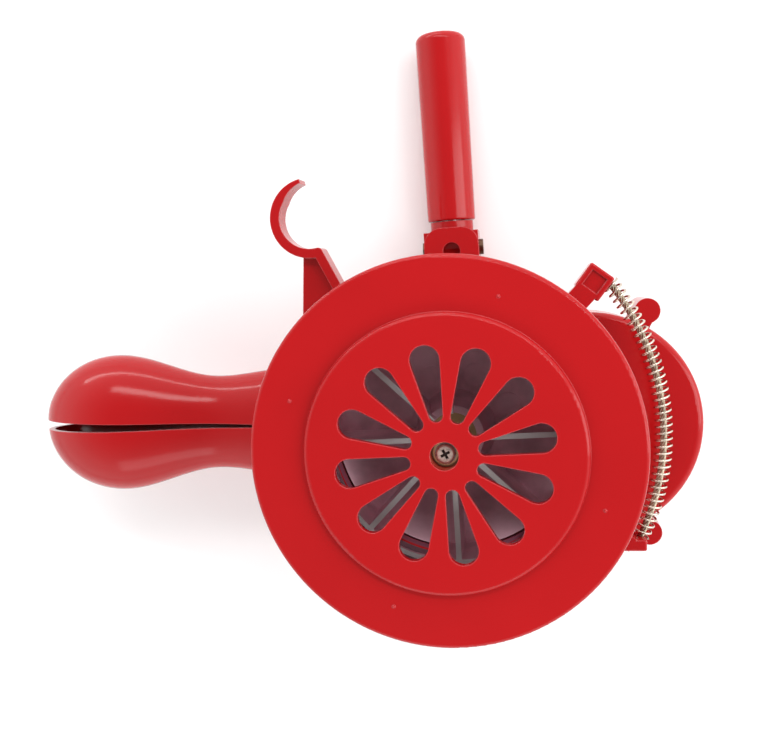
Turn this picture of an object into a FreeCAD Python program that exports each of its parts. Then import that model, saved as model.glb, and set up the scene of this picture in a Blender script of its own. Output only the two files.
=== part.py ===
import FreeCAD, Part
import math
import os
import re

# Hand crank siren, millimetres.
# It is modelled about the drum axis, which is the Z axis, with z = 0 on the front face of
# the flange. The front looks up (+Z), the folding legs point to -X, the round gear housing
# to +X and the crank to +Y. The last step moves the whole part so that its origin is at
# the bottom centre of its box.

Vec = FreeCAD.Vector
Z_AXIS = Vec(0, 0, 1)
X_AXIS = Vec(1, 0, 0)
Y_AXIS = Vec(0, 1, 0)

SIZES = [
    # front cover: flange, raised grille and centre boss
    ("flange_out", 15.0), ("flange_t", 3.0), ("rim_t", 2.0), ("rim_back", 6.0),
    ("rim_round", 1.3), ("disc_in", 3.0), ("disc_up", 2.7), ("disc_round", 1.5),
    ("grille_t", 2.5), ("spigot_t", 2.0), ("spigot_length", 6.0), ("spigot_gap", 0.1),
    ("petal_count", 12), ("petal_turn", 10.0), ("petal_inner_r", 13.1),
    ("petal_inner_round", 2.2), ("petal_outer_r", 30.6), ("petal_outer_round", 4.7),
    ("eye_r", 4.5), ("eye_depth", 4.6), ("boss_r", 7.6), ("boss_length", 12.0),
    ("nub_r", 0.5), ("post_out", 4.3), ("post_turn", 70.0), ("post_r", 3.6),
    ("post_length", 9.0),
    # fasteners
    ("screw_r", 1.4), ("screw_head_r", 2.8), ("screw_head_t", 1.9), ("screw_gap", 0.05),
    ("recess_width", 0.8), ("recess_depth", 1.0), ("ear_r", 4.6), ("lug_t", 3.0),
    ("lug_margin", 0.6),
    # drum
    ("drum_r", 48.0), ("drum_wall", 2.4), ("drum_depth", 60.0), ("port_count", 8),
    ("port_width", 15.0), ("port_length", 7.5), ("port_turn", 22.5),
    ("rear_post_length", 6.0), ("rear_post_out", 4.0), ("rear_post_turn", 60.0),
    # gear case and cover
    ("floor_t", 2.5), ("case_depth", 24.0), ("case_wall", 1.9), ("housing_gap", 0.35),
    ("housing_round", 2.6), ("cover_t", 2.5), ("ear_turn", 62.0), ("ear_out", 5.2),
    ("far_ear_turn", 95.0), ("bearing_wall", 2.6),
    # gears
    ("crank_teeth", 80), ("idler_pinion_teeth", 16), ("rotor_teeth", 20),
    ("tooth_top", 0.95), ("tooth_root", 1.2), ("gear_room", 5.15), ("gear_width", 5.6),
    ("backlash", 0.12), ("gear_gap", 0.6), ("gear_hub_r", 6.5),
    # rotor and its shaft
    ("rotor_gap", 1.2), ("rotor_clear", 2.0), ("rotor_depth", 26.5), ("hub_depth", 20.5),
    ("plate_t", 2.4), ("vane_count", 8), ("vane_t", 1.9), ("vane_turn", 1.8),
    ("rotor_rim_t", 1.6), ("rotor_lip", 2.0), ("window_share", 0.5), ("hub_r", 10.9),
    ("hub_bush_r", 8.3), ("hub_nose_r", 5.6), ("hub_nose_length", 3.0), ("hub_foot_r", 15.0),
    ("pad_r", 4.4), ("pad_ring_r", 21.0), ("pad_t", 0.4), ("rotor_shaft_r", 3.0),
    ("bush_t", 2.2), ("running_gap", 0.05), ("washer_r", 4.1), ("washer_t", 0.7),
    ("spring_washer_r", 3.4), ("spring_washer_t", 0.9), ("split_width", 0.6),
    ("centre_screw_r", 1.5), ("centre_head_r", 3.2), ("centre_head_t", 2.0),
    ("centre_screw_length", 9.0),
    # idler
    ("idler_shaft_r", 2.5), ("idler_bush_t", 1.8), ("idler_bush_length", 3.0),
    ("idler_play", 0.2),
    # crank
    ("crank_rest_turn", 2.1), ("crank_shaft_r", 4.0), ("crank_bush_t", 2.0),
    ("cover_boss_length", 2.6), ("arm_gap", 0.6), ("arm_t", 6.0), ("arm_hub_r", 13.0),
    ("arm_boss_t", 4.5), ("arm_pocket", 2.5), ("arm_wall", 2.4), ("knuckle_width", 21.6),
    ("knuckle_gap", 1.0), ("web_t", 2.2), ("web_top", 75.3), ("web_round", 7.0),
    ("web_hole_r", 3.35), ("web_hole_at", 66.0), ("ear_plate_t", 2.3), ("fold_at", 67.2),
    ("fold_drop", 6.0), ("ear_round_r", 6.5), ("eye_round_r", 7.4), ("eye_gap", 0.25),
    ("fold_pin_r", 2.0), ("fold_head_r", 3.1), ("fold_head_t", 1.4), ("nut_r", 6.6),
    ("nut_t", 5.0), ("nut_chamfer", 1.0), ("nut_washer_r", 7.5), ("nut_washer_t", 1.0),
    # grip on the crank
    ("collar_at", 74.2), ("collar_r", 8.6), ("collar_length", 3.8), ("spindle_r", 3.0),
    ("spindle_seat", 2.0), ("sleeve_gap", 0.3), ("sleeve_length", 74.0), ("sleeve_r", 9.6),
    ("sleeve_end_r", 9.95), ("sleeve_round", 3.0), ("sleeve_foot_round", 0.8),
    ("spindle_length", 66.0), ("clip_r", 4.6), ("clip_t", 1.0), ("clip_room", 0.4),
    # folding legs
    ("leg_reach", 166.4), ("shoulder_at", 156.0), ("shoulder_half", 19.2), ("bulb_at", 134.0),
    ("bulb_half", 26.0), ("neck_at", 98.0), ("neck_half", 17.9), ("flare_at", 76.0),
    ("flare_half", 20.0), ("leg_root_out", 6.0), ("leg_root_half", 21.6),
    ("leg_flatness", 0.7), ("leg_wall", 2.4), ("parting_gap", 0.35), ("leg_centre", 1.3),
    ("upper_rest_turn", 1.3), ("lower_rest_turn", 0.4), ("leg_pin_clear", 12.0),
    ("leg_pin_out", 10.0), ("leg_pin_r", 2.5), ("leg_boss_r", 9.4), ("yoke_t", 3.2),
    ("yoke_gap", 0.35), ("leg_head_r", 4.4), ("leg_head_t", 1.4), ("leg_solid_out", 4.6),
    # hook
    ("hook_x", -48.6), ("hook_y", 77.9), ("hook_outer_r", 14.0), ("hook_strip_t", 3.3),
    ("hook_depth", 10.0), ("hook_level", 38.0), ("hook_web_t", 2.6), ("hook_turn", 27.0),
    ("hook_strip_start", 283.0), ("hook_tip_past", 3.0), ("hook_tip_t", 1.0),
    ("hook_web_start", 255.0), ("hook_web_foot", 134.0), ("foot_t", 2.6),
    ("foot_spread", 9.0),
    # strap: cable in a coil spring between two anchor blocks
    ("strap_x", -13.6), ("strap_y", -1.0), ("strap_r", 86.6), ("strap_level", 46.5),
    ("cable_r", 1.2), ("cable_past", 3.0), ("coil_r", 2.8), ("wire_r", 0.38),
    ("coil_turns", 39), ("coil_lead", 2.2), ("block_side", 9.8), ("block_depth", 12.0),
    ("block_round", 0.8), ("block_turn", 52.7), ("block_ring_r", 72.1), ("block_at", 46.4),
    ("lug_side", 4.2), ("lug_ring_r", 73.3), ("lug_at", -33.0), ("lug_arm_width", 5.0),
    ("arm_depth", 7.0), ("arm_width", 8.0), ("window_side", 6.1), ("window_depth", 0.8),
]

# sizes that follow from the ones above, as formulas of the same sheet
FORMULAS = [
    ("flange_r", "drum_r + flange_out"),
    ("disc_r", "drum_r - disc_in"),
    ("post_ring_r", "drum_r + post_out"),
    ("rear_post_ring_r", "drum_r + rear_post_out"),
    ("tooth_module", "(drum_r - case_wall - gear_room) / (crank_teeth / 2 + tooth_top)"),
    ("gear_centre", "tooth_module * (crank_teeth + idler_pinion_teeth) / 2"),
    ("idler_teeth", "crank_teeth + idler_pinion_teeth - rotor_teeth"),
    ("housing_r", "tooth_module * (idler_teeth / 2 + tooth_top) + housing_gap + case_wall"),
    ("ear_ring_r", "housing_r + ear_out"),
    ("case_back", "-drum_depth - case_depth"),
    ("cover_back", "case_back - cover_t"),
    ("boss_end", "cover_back - cover_boss_length"),
    ("arm_front", "boss_end - arm_gap"),
    ("arm_back", "arm_front - arm_t"),
    ("fold_level", "arm_back - fold_drop"),
    ("bush_end", "-drum_depth - floor_t - bearing_wall"),
    ("front_gears", "bush_end - gear_gap - gear_width"),
    ("rear_gears", "front_gears - 2 * gear_gap - gear_width"),
    ("rotor_back", "drum_depth - rotor_clear"),
    ("rotor_front", "rotor_back - rotor_depth"),
    ("hub_front", "rotor_back - hub_depth"),
    ("head_low", "washer_t + spring_washer_t - eye_depth"),
    ("clip_at", "collar_at - spindle_seat + spindle_length"),
    ("leg_pin_at", "drum_r + leg_pin_clear"),
    ("leg_root", "drum_r + leg_root_out"),
]

# how far a cut runs past a face, so that no skin is left
PAST = 1.0

doc = FreeCAD.newDocument("hand_crank_siren")
sheet = doc.addObject("Spreadsheet::Sheet", "Sizes")
for row, (alias, value) in enumerate(SIZES + FORMULAS, start=1):
    sheet.set("A%d" % row, alias)
    sheet.set("B%d" % row, "=%s" % value)
    sheet.setAlias("B%d" % row, alias)
doc.recompute()

WORD = re.compile(r"[a-z][a-z_]*")
FUNCTIONS = ("sin", "cos", "tan", "sqrt")
nodes = []


def expr(text):
    """A size expression with every bare word read from the sheet."""
    return WORD.sub(lambda m: m.group() if m.group() in FUNCTIONS else "Sizes." + m.group(),
                    str(text))


def size(name):
    return float(getattr(sheet, name))


def bind(obj, **sizes):
    for prop, text in sizes.items():
        obj.setExpression(prop, expr(text))
    return obj


def at(obj, x="0", y="0", z="0", turn=None):
    """Place an object by three size expressions, after an optional turn."""
    if turn is not None:
        obj.Placement = FreeCAD.Placement(Vec(), turn)
    for prop, text in (("x", x), ("y", y), ("z", z)):
        obj.setExpression("Placement.Base." + prop, expr(text))
    return obj


ALONG = {
    "z": None,
    "y": FreeCAD.Rotation(X_AXIS, -90),
    "x": FreeCAD.Rotation(Y_AXIS, 90),
}


def cylinder(name, radius, height, x="0", y="0", z="0", along="z"):
    obj = doc.addObject("Part::Cylinder", name)
    bind(obj, Radius=radius, Height=height)
    return at(obj, x, y, z, ALONG[along])


def box(name, length, width, height, x="0", y="0", z="0"):
    obj = doc.addObject("Part::Box", name)
    bind(obj, Length=length, Width=width, Height=height)
    return at(obj, x, y, z)


def fuse(name, *parts):
    obj = doc.addObject("Part::MultiFuse", name)
    obj.Shapes = list(parts)
    return obj


def cut(name, base, *tools):
    obj = doc.addObject("Part::Cut", name)
    obj.Base = base
    obj.Tool = tools[0] if len(tools) == 1 else fuse(name + "_tools", *tools)
    return obj


def common(name, base, tool):
    obj = doc.addObject("Part::Common", name)
    obj.Base = base
    obj.Tool = tool
    return obj


def ring(name, outer, inner, height, x="0", y="0", z="0"):
    return cut(name, cylinder(name + "_outer", outer, height, x, y, z),
               cylinder(name + "_bore", inner, "%s + 2" % height, x, y, "%s - 1" % z))


def form(name, shape):
    """A shape that no primitive gives, made with sizes read from the sheet."""
    obj = doc.addObject("Part::Feature", name)
    obj.Shape = shape
    return obj


def node(label, obj):
    """Name a finished sub-part. Its label is also the name of its file."""
    obj.Label = label
    nodes.append(obj)
    return obj


def polar(radius, degrees):
    return Vec(radius * math.cos(math.radians(degrees)), radius * math.sin(math.radians(degrees)))


def polygon_face(points):
    return Part.Face(Part.makePolygon(list(points) + [points[0]]))


def ring_spots(radius, start, count=4):
    """Size expressions for the centres of fasteners on a circle about the drum axis."""
    for number in range(count):
        angle = "(%s + %g)" % (start, 360 * number / count)
        yield "%s * cos(%s)" % (radius, angle), "%s * sin(%s)" % (radius, angle)


def teardrop(inner_r, inner_round, outer_r, outer_round, low, high):
    """A prism with two unequal round ends joined by straight sides, pointing to +X."""
    lean = math.asin((outer_round - inner_round) / (outer_r - inner_r))
    side = Vec(-math.sin(lean), math.cos(lean))
    flip = Vec(side.x, -side.y)
    inner = Vec(inner_r, 0)
    outer = Vec(outer_r, 0)
    a, b = inner + side * inner_round, outer + side * outer_round
    c, d = outer + flip * outer_round, inner + flip * inner_round
    wire = Part.Wire([
        Part.LineSegment(a, b).toShape(),
        Part.Arc(b, outer + Vec(outer_round, 0), c).toShape(),
        Part.LineSegment(c, d).toShape(),
        Part.Arc(d, inner - Vec(inner_round, 0), a).toShape(),
    ])
    prism = Part.Face(wire).extrude(Vec(0, 0, high - low))
    prism.translate(Vec(0, 0, low))
    return prism


def flat_edges(shape, level):
    """The edges of a shape that lie flat at this height."""
    return [e for e in shape.Edges if abs(e.BoundBox.ZMin - level) < 0.01
            and abs(e.BoundBox.ZMax - level) < 0.01]


def rounded_disc(radius, low, high, fillet, centre=Vec()):
    """A disc whose upper edge is rounded."""
    shape = Part.makeCylinder(radius, high - low, centre + Vec(0, 0, low))
    return shape.makeFillet(fillet, flat_edges(shape, high))


def screws(prefix, spots, head_low, length):
    """Round-head screws with a cross recess, standing along Z with the head below."""
    parts = []
    for number, (x, y) in enumerate(spots):
        name = "%s_%d" % (prefix, number)
        head = cylinder(name + "_head", "screw_head_r", "screw_head_t", x, y, head_low)
        shank = cylinder(name + "_shank", "screw_r", length, x, y,
                         "%s + screw_head_t" % head_low)
        slot_x = box(name + "_slot_x", "screw_head_r", "recess_width", "recess_depth + 1",
                     "%s - screw_head_r / 2" % x, "%s - recess_width / 2" % y,
                     "%s - 1" % head_low)
        slot_y = box(name + "_slot_y", "recess_width", "screw_head_r", "recess_depth + 1",
                     "%s - recess_width / 2" % x, "%s - screw_head_r / 2" % y,
                     "%s - 1" % head_low)
        parts.append(cut(name, fuse(name + "_solid", head, shank), slot_x, slot_y))
    return fuse(prefix, *parts)


# Front cover
def petals():
    low = -size("flange_t") - PAST
    high = size("disc_up") + PAST
    one = teardrop(size("petal_inner_r"), size("petal_inner_round"), size("petal_outer_r"),
                   size("petal_outer_round"), low, high)
    count = int(size("petal_count"))
    return Part.makeCompound([
        one.rotated(Vec(), Z_AXIS, size("petal_turn") + 360 * k / count) for k in range(count)])


def front_cover():
    flange = form("flange_plate", rounded_disc(size("flange_r"), -size("rim_back"), 0,
                                               size("rim_round")))
    flange_room = cylinder("flange_room", "flange_r - rim_t", "rim_back - flange_t", "0", "0",
                           "0 - rim_back")
    disc = form("grille_disc", rounded_disc(size("disc_r"), -size("flange_t"),
                                            size("disc_up"), size("disc_round")))
    spigot = cylinder("spigot", "drum_r - drum_wall - spigot_gap", "spigot_length + 1", "0",
                      "0", "0 - flange_t - spigot_length")
    room = cylinder("grille_room", "drum_r - drum_wall - spigot_gap - spigot_t",
                    "flange_t + spigot_length + disc_up - grille_t + 1", "0", "0",
                    "0 - flange_t - spigot_length - 1")
    boss = cylinder("centre_boss", "boss_r", "boss_length + disc_up - grille_t / 2", "0", "0",
                    "0 - boss_length")
    eye = cylinder("centre_eye", "eye_r", "disc_up + boss_length + 2", "0", "0",
                   "0 - boss_length - 1")
    seat = cylinder("bush_seat", "rotor_shaft_r + bush_t", "boss_length - eye_depth + 1", "0",
                    "0", "0 - boss_length - 1")
    posts, holes, nubs = [], [], []
    for k, (x, y) in enumerate(ring_spots("post_ring_r", "post_turn")):
        posts.append(cylinder("cover_post_%d" % k, "post_r", "post_length + flange_t / 2", x, y,
                              "0 - flange_t - post_length"))
        holes.append(cylinder("cover_hole_%d" % k, "screw_r + screw_gap", "post_length + 1",
                              x, y, "0 - flange_t - post_length - 1"))
        nub = doc.addObject("Part::Sphere", "nub_%d" % k)
        bind(nub, Radius="nub_r")
        nubs.append(at(nub, x, y, "0"))
    plate = cut("flange_dished", flange, flange_room)
    shell = cut("cover_shell", fuse("cover_stock", plate, disc, spigot, *nubs), room)
    solid = fuse("cover_solid", shell, boss, *posts)
    node("front_cover", cut("FrontCover", solid, form("petal_holes", petals()), eye, seat,
                            *holes))


def drum():
    shell = ring("drum_shell", "drum_r", "drum_r - drum_wall", "drum_depth - flange_t", "0",
                 "0", "0 - drum_depth")
    parts = [shell]
    tools = []
    low = "0 - flange_t - post_length - lug_t"
    for k, (x, y) in enumerate(ring_spots("post_ring_r", "post_turn")):
        lug = cylinder("front_lug_%d" % k, "post_r + lug_margin", "lug_t", x, y, low)
        parts.append(lug)
        tools.append(cylinder("front_lug_hole_%d" % k, "screw_r + screw_gap", "lug_t + 2", x,
                              y, low + " - 1"))
        tie = form("front_lug_tie_%d" % k, rib(size("post_turn") + 90 * k, size("drum_r") - 1,
                   size("post_ring_r"), 2 * size("post_r"),
                   -size("flange_t") - size("post_length") - size("lug_t"), size("lug_t")))
        parts.append(tie)
    rear_low = "0 - drum_depth"
    for k, (x, y) in enumerate(rear_spots()):
        parts.append(cylinder("rear_post_%d" % k, "post_r", "rear_post_length", x, y, rear_low))
        tools.append(cylinder("rear_post_hole_%d" % k, "screw_r + screw_gap",
                              "rear_post_length - 1", x, y, rear_low + " - 0.5"))
        parts.append(form("rear_post_tie_%d" % k, rear_tie(k, -size("drum_depth"),
                                                           size("rear_post_length"))))
    count = int(size("port_count"))
    ports = [rib(size("port_turn") + 360 * k / count, size("drum_r") - 2 * size("drum_wall"),
                 size("drum_r") + 0.3, size("port_width"),
                 -size("rotor_back") + 1, size("port_length")) for k in range(count)]
    tools.append(form("sound_ports", Part.makeCompound(ports)))
    bore = cylinder("drum_bore", "drum_r - drum_wall", "drum_depth + 2", "0", "0",
                    "0 - drum_depth - 1")
    node("drum", cut("Drum", fuse("drum_solid", *parts), bore, *tools))


def rib(angle, near, far, width, low, height):
    """A straight block along a radius, from near to far."""
    block = Part.makeBox(far - near, width, height, Vec(near, -width / 2, low))
    return block.rotated(Vec(), Z_AXIS, angle)


def rear_spots():
    """Two pairs of screws join drum and case, above and below the housing."""
    for way in ("", "180 - "):
        angle = "(%srear_post_turn)" % way
        yield ("rear_post_ring_r * cos(%s)" % angle, "rear_post_ring_r * sin(%s)" % angle)
        yield ("rear_post_ring_r * cos(%s)" % angle, "0 - rear_post_ring_r * sin(%s)" % angle)


def rear_tie(number, low, height):
    """Web that joins one of the rear screw posts to the round wall."""
    turn = size("rear_post_turn")
    angles = (turn, -turn, 180 - turn, 180 + turn)
    return rib(angles[number], size("drum_r") - 1, size("rear_post_ring_r"),
               1.6 * size("post_r"), low, height)


def yoke_plate(low):
    """Plate that carries the two leg pins, reaching back into the round wall."""
    t = size("yoke_t")
    pin = size("leg_pin_at")
    out = size("leg_pin_out")
    boss = size("leg_boss_r")
    centre = size("leg_centre")
    inner = size("drum_r") - size("case_wall") / 2
    back = math.sqrt(inner ** 2 - (out + boss + centre) ** 2)
    plate = Part.makeBox(pin - back, 2 * (out + boss), t, Vec(-pin, centre - out - boss, low))
    front = Part.makeBox(boss, 2 * out, t, Vec(-pin - boss, centre - out, low))
    rounds = [Part.makeCylinder(boss, t, Vec(-pin, centre + side * out, low))
              for side in (-1, 1)]
    return plate.multiFuse([front] + rounds).removeSplitter()


def yoke_holes(low, height):
    return Part.makeCompound([
        Part.makeCylinder(size("leg_pin_r") + size("running_gap"), height + 2 * PAST,
                          Vec(-size("leg_pin_at"), size("leg_centre") + side
                              * size("leg_pin_out"), low - PAST)) for side in (-1, 1)])


# Gear case: a tray with a round housing beside the drum, open at the back
def case_ears():
    """Screw ears of the case and its cover: two on the housing, two on the drum side."""
    for side in ("", "0 - "):
        yield ("gear_centre + ear_ring_r * cos(ear_turn)",
               side + "ear_ring_r * sin(ear_turn)")
        yield ("rear_post_ring_r * cos(far_ear_turn)",
               side + "rear_post_ring_r * sin(far_ear_turn)")


def ear_ties(prefix, low, height):
    """Necks between the round walls and the four screw ears."""
    width = 1.5 * size("ear_r")
    drum_side = size("far_ear_turn")
    ties = []
    for side in (1, -1):
        near = rib(side * size("ear_turn"), size("housing_r") - 3, size("ear_ring_r"), width,
                   low, height).translated(Vec(size("gear_centre"), 0, 0))
        far = rib(side * drum_side, size("drum_r") - 3, size("rear_post_ring_r"), width, low,
                  height)
        ties += [form("%s_tie_near_%d" % (prefix, side + 1), near),
                 form("%s_tie_far_%d" % (prefix, side + 1), far)]
    return ties


def gear_case():
    centre = Vec(size("gear_centre"), 0, 0)
    back = -size("drum_depth") - size("case_depth")
    housing = form("housing_round", rounded_disc(size("housing_r"), back, -size("drum_depth"),
                                                 size("housing_round"), centre))
    main = cylinder("case_main", "drum_r", "case_depth", "0", "0", "case_back")
    parts = [housing, main]
    tools = [
        cylinder("case_room", "drum_r - case_wall", "case_depth - floor_t + 1", "0", "0",
                 "case_back - 1"),
        cylinder("housing_room", "housing_r - case_wall", "case_depth - floor_t + 1",
                 "gear_centre", "0", "case_back - 1"),
    ]
    parts += ear_ties("case", back, size("case_depth") - size("housing_round"))
    for k, (x, y) in enumerate(case_ears()):
        parts.append(cylinder("case_ear_%d" % k, "ear_r", "case_depth - housing_round", x, y,
                              "case_back"))
        tools.append(cylinder("case_ear_hole_%d" % k, "screw_r + screw_gap",
                              "case_depth / 2 + 1", x, y, "case_back - 1"))
    for k, (x, y) in enumerate(rear_spots()):
        parts.append(cylinder("case_tab_%d" % k, "post_r", "lug_t", x, y,
                              "0 - drum_depth - lug_t"))
        tools.append(cylinder("case_tab_hole_%d" % k, "screw_r + screw_gap", "lug_t + 2", x, y,
                              "0 - drum_depth - lug_t - 1"))
        parts.append(form("case_tab_tie_%d" % k, rear_tie(
            k, -size("drum_depth") - size("lug_t"), size("lug_t"))))
    parts.append(form("yoke_front", yoke_plate(-size("drum_depth") - size("yoke_t"))))
    parts.append(form("yoke_back", yoke_plate(back)))
    tools.append(form("yoke_holes", yoke_holes(back, size("case_depth"))))
    stock = cut("case_hollow", fuse("case_stock", *parts), *tools)
    bosses = [
        cylinder("rotor_bearing_boss", "rotor_shaft_r + bush_t + bearing_wall",
                 "bearing_wall + 1", "0", "0", "bush_end"),
        cylinder("idler_bearing_boss", "idler_shaft_r + idler_bush_t + bearing_wall",
                 "bearing_wall + 1", "gear_centre", "0", "bush_end"),
    ]
    seats = [
        cylinder("rotor_bearing_seat", "rotor_shaft_r + bush_t",
                 "floor_t + bearing_wall + 2", "0", "0", "bush_end - 1"),
        cylinder("idler_bearing_seat", "idler_shaft_r + idler_bush_t", "idler_bush_length + 1",
                 "gear_centre", "0", "bush_end - 1"),
    ]
    node("gear_case", cut("GearCase", fuse("case_solid", stock, *bosses), *seats))


def gear_cover():
    parts = [
        cylinder("cover_main", "drum_r", "cover_t", "0", "0", "cover_back"),
        cylinder("cover_housing", "housing_r", "cover_t", "gear_centre", "0", "cover_back"),
        cylinder("crank_boss", "crank_shaft_r + crank_bush_t + bearing_wall",
                 "cover_boss_length + 1", "0", "0", "boss_end"),
        cylinder("idler_rear_boss", "idler_shaft_r + idler_bush_t + bearing_wall",
                 "idler_bush_length - cover_t / 2 + 1", "gear_centre", "0", "case_back - 1"),
    ]
    tools = [
        cylinder("crank_bush_seat", "crank_shaft_r + crank_bush_t",
                 "cover_t + cover_boss_length + 2", "0", "0", "boss_end - 1"),
        cylinder("idler_rear_seat", "idler_shaft_r + idler_bush_t", "idler_bush_length + 1",
                 "gear_centre", "0", "case_back - cover_t / 2"),
    ]
    parts += ear_ties("cover", size("cover_back"), size("cover_t"))
    for k, (x, y) in enumerate(case_ears()):
        parts.append(cylinder("cover_ear_%d" % k, "ear_r", "cover_t", x, y, "cover_back"))
        tools.append(cylinder("cover_ear_hole_%d" % k, "screw_r + screw_gap", "cover_t + 2", x,
                              y, "cover_back - 1"))
    node("gear_cover", cut("GearCover", fuse("cover_plate", *parts), *tools))


# Gears
def tooth_outline(teeth, turn):
    """Outline of a spur gear with involute flanks of 20 degrees, one tooth at turn."""
    module = size("tooth_module")
    pitch_r = module * teeth / 2
    tip_r = pitch_r + size("tooth_top") * module
    root_r = pitch_r - size("tooth_root") * module
    pressure = math.radians(20)
    base_r = pitch_r * math.cos(pressure)

    def involute(a):
        return math.tan(a) - a

    half_tooth = math.pi / (2 * teeth) - size("backlash") / (2 * pitch_r)

    def half_angle(r):
        reach = math.acos(base_r / r) if r > base_r else 0.0
        return half_tooth + involute(pressure) - involute(reach)

    flank = [root_r, max(root_r + 0.3 * module, min(base_r, pitch_r - 0.5 * module)), pitch_r,
             tip_r]
    points = []
    for k in range(teeth):
        middle = math.radians(turn) + 2 * math.pi * k / teeth
        for way, radii in ((-1, flank), (1, reversed(flank))):
            for r in radii:
                angle = middle + way * half_angle(r)
                points.append(Vec(r * math.cos(angle), r * math.sin(angle)))
    return polygon_face(points)


def gear(label, teeth, turn, bore, low, hub=None, x="0", web=False):
    """A spur gear on a bore, with an optional hub and a thinned web."""
    face = tooth_outline(int(teeth), turn)
    rim = at(form(label + "_teeth", face.extrude(Vec(0, 0, size("gear_width")))), x, "0", low)
    tools = [cylinder(label + "_bore", bore, "gear_width + 2", x, "0", low + " - 1")]
    if web:
        inner = "tooth_module * %d / 2 - 4 * tooth_module" % teeth
        for side, z in (("front", low + " + gear_width * 2 / 3"), ("back", low + " - 1")):
            tools.append(cut(label + "_%s_web" % side,
                             cylinder(label + "_%s_room" % side, inner,
                                      "gear_width / 3 + 1", x, "0", z),
                             cylinder(label + "_%s_hub" % side, hub, "gear_width + 2", x, "0",
                                      z + " - 1")))
    node(label, cut(label + "_gear", rim, *tools))


def gears():
    crank = int(size("crank_teeth"))
    pinion = int(size("idler_pinion_teeth"))
    idler = int(size("idler_teeth"))
    gear("rotor_pinion", int(size("rotor_teeth")), 0, "rotor_shaft_r", "front_gears")
    gear("idler_gear", idler, 180 + 180 / idler, "idler_shaft_r", "front_gears", "gear_hub_r",
         "gear_centre", True)
    gear("crank_gear", crank, 0, "crank_shaft_r", "rear_gears", "crank_shaft_r + gear_hub_r "
         "- idler_shaft_r", "0", True)
    gear("idler_pinion", pinion, 180 + 180 / pinion, "idler_shaft_r", "rear_gears",
         x="gear_centre")


# Rotor, its shaft and the parts on it
def rotor():
    wheel_r = size("drum_r") - size("drum_wall") - size("rotor_gap")
    back, front = -size("rotor_back"), -size("rotor_front")
    plate_front = back + size("plate_t")
    count = int(size("vane_count"))
    pitch = 360 / count
    plate = Part.makeCylinder(wheel_r, size("plate_t"), Vec(0, 0, back))
    band = Part.makeCylinder(wheel_r, front - back, Vec(0, 0, back)).cut(
        Part.makeCylinder(wheel_r - size("rotor_rim_t"), front - back, Vec(0, 0, back)))
    hub_front = -size("hub_front")
    hub = Part.makeCone(size("hub_foot_r"), size("hub_r"), hub_front - back, Vec(0, 0, back))
    vanes = [rib(size("vane_turn") + pitch * k, size("hub_bush_r") + 0.5,
                 wheel_r - size("rotor_rim_t") / 2, size("vane_t"), back, front - back)
             for k in range(count)]
    pads = [Part.makeCylinder(size("pad_r"), size("plate_t") + size("pad_t"),
                              polar(size("pad_ring_r"), size("vane_turn") + pitch * (k + 0.5))
                              + Vec(0, 0, back)) for k in range(count)]
    window = 2 * math.pi * wheel_r / count * size("window_share")
    windows = [rib(size("vane_turn") + pitch * (k + 0.5), wheel_r - 3 * size("rotor_rim_t"),
                   wheel_r + PAST, window, plate_front,
                   front - plate_front - size("rotor_lip"))
               for k in range(count)]
    band = band.cut(Part.makeCompound(windows))
    solid = plate.multiFuse([band, hub] + vanes + pads).removeSplitter()
    bore = Part.makeCylinder(size("hub_bush_r"), front - back + 2 * PAST,
                             Vec(0, 0, back - PAST))
    node("rotor", form("Rotor", solid.cut(bore)))
    bush = fuse("hub_bush_solid",
                cylinder("hub_bush_body", "hub_bush_r", "rotor_back - hub_front", "0", "0",
                         "0 - rotor_back"),
                cylinder("hub_bush_nose", "hub_nose_r", "rotor_back - hub_front + "
                         "hub_nose_length", "0", "0", "0 - rotor_back"))
    node("rotor_bush", cut("RotorBush", bush,
                           cylinder("hub_bush_bore", "rotor_shaft_r", "rotor_back", "0", "0",
                                    "0 - rotor_back - 1")))


def rotor_shaft():
    washer_low = "0 - eye_depth"
    shaft = cylinder("shaft_rod", "rotor_shaft_r",
                     "drum_depth + floor_t + bearing_wall + gear_gap + gear_width - eye_depth",
                     "0", "0", "front_gears")
    tap = cylinder("shaft_tap", "centre_screw_r + screw_gap", "centre_screw_length + 1", "0",
                   "0", "0 - eye_depth - centre_screw_length")
    node("rotor_shaft", cut("RotorShaft", shaft, tap))
    node("shaft_washer", ring("ShaftWasher", "washer_r", "centre_screw_r + screw_gap",
                              "washer_t", "0", "0", washer_low))
    split = ring("split_ring", "spring_washer_r", "centre_screw_r + screw_gap",
                 "spring_washer_t", "0", "0", washer_low + " + washer_t")
    gap = box("split_gap", "spring_washer_r + 1", "split_width", "spring_washer_t + 2", "0",
              "0 - split_width / 2", washer_low + " + washer_t - 1")
    node("spring_washer", cut("SpringWasher", split, gap))
    head = cylinder("centre_head", "centre_head_r", "centre_head_t", "0", "0", "head_low")
    shank = cylinder("centre_shank", "centre_screw_r", "centre_screw_length", "0", "0",
                     "head_low - centre_screw_length")
    slots = [box("centre_slot_x", "centre_head_r * 1.3", "recess_width", "recess_depth + 1",
                 "0 - centre_head_r * 0.65", "0 - recess_width / 2",
                 "head_low + centre_head_t - recess_depth"),
             box("centre_slot_y", "recess_width", "centre_head_r * 1.3", "recess_depth + 1",
                 "0 - recess_width / 2", "0 - centre_head_r * 0.65",
                 "head_low + centre_head_t - recess_depth")]
    node("centre_screw", cut("CentreScrew", fuse("centre_solid", head, shank), *slots))


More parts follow.
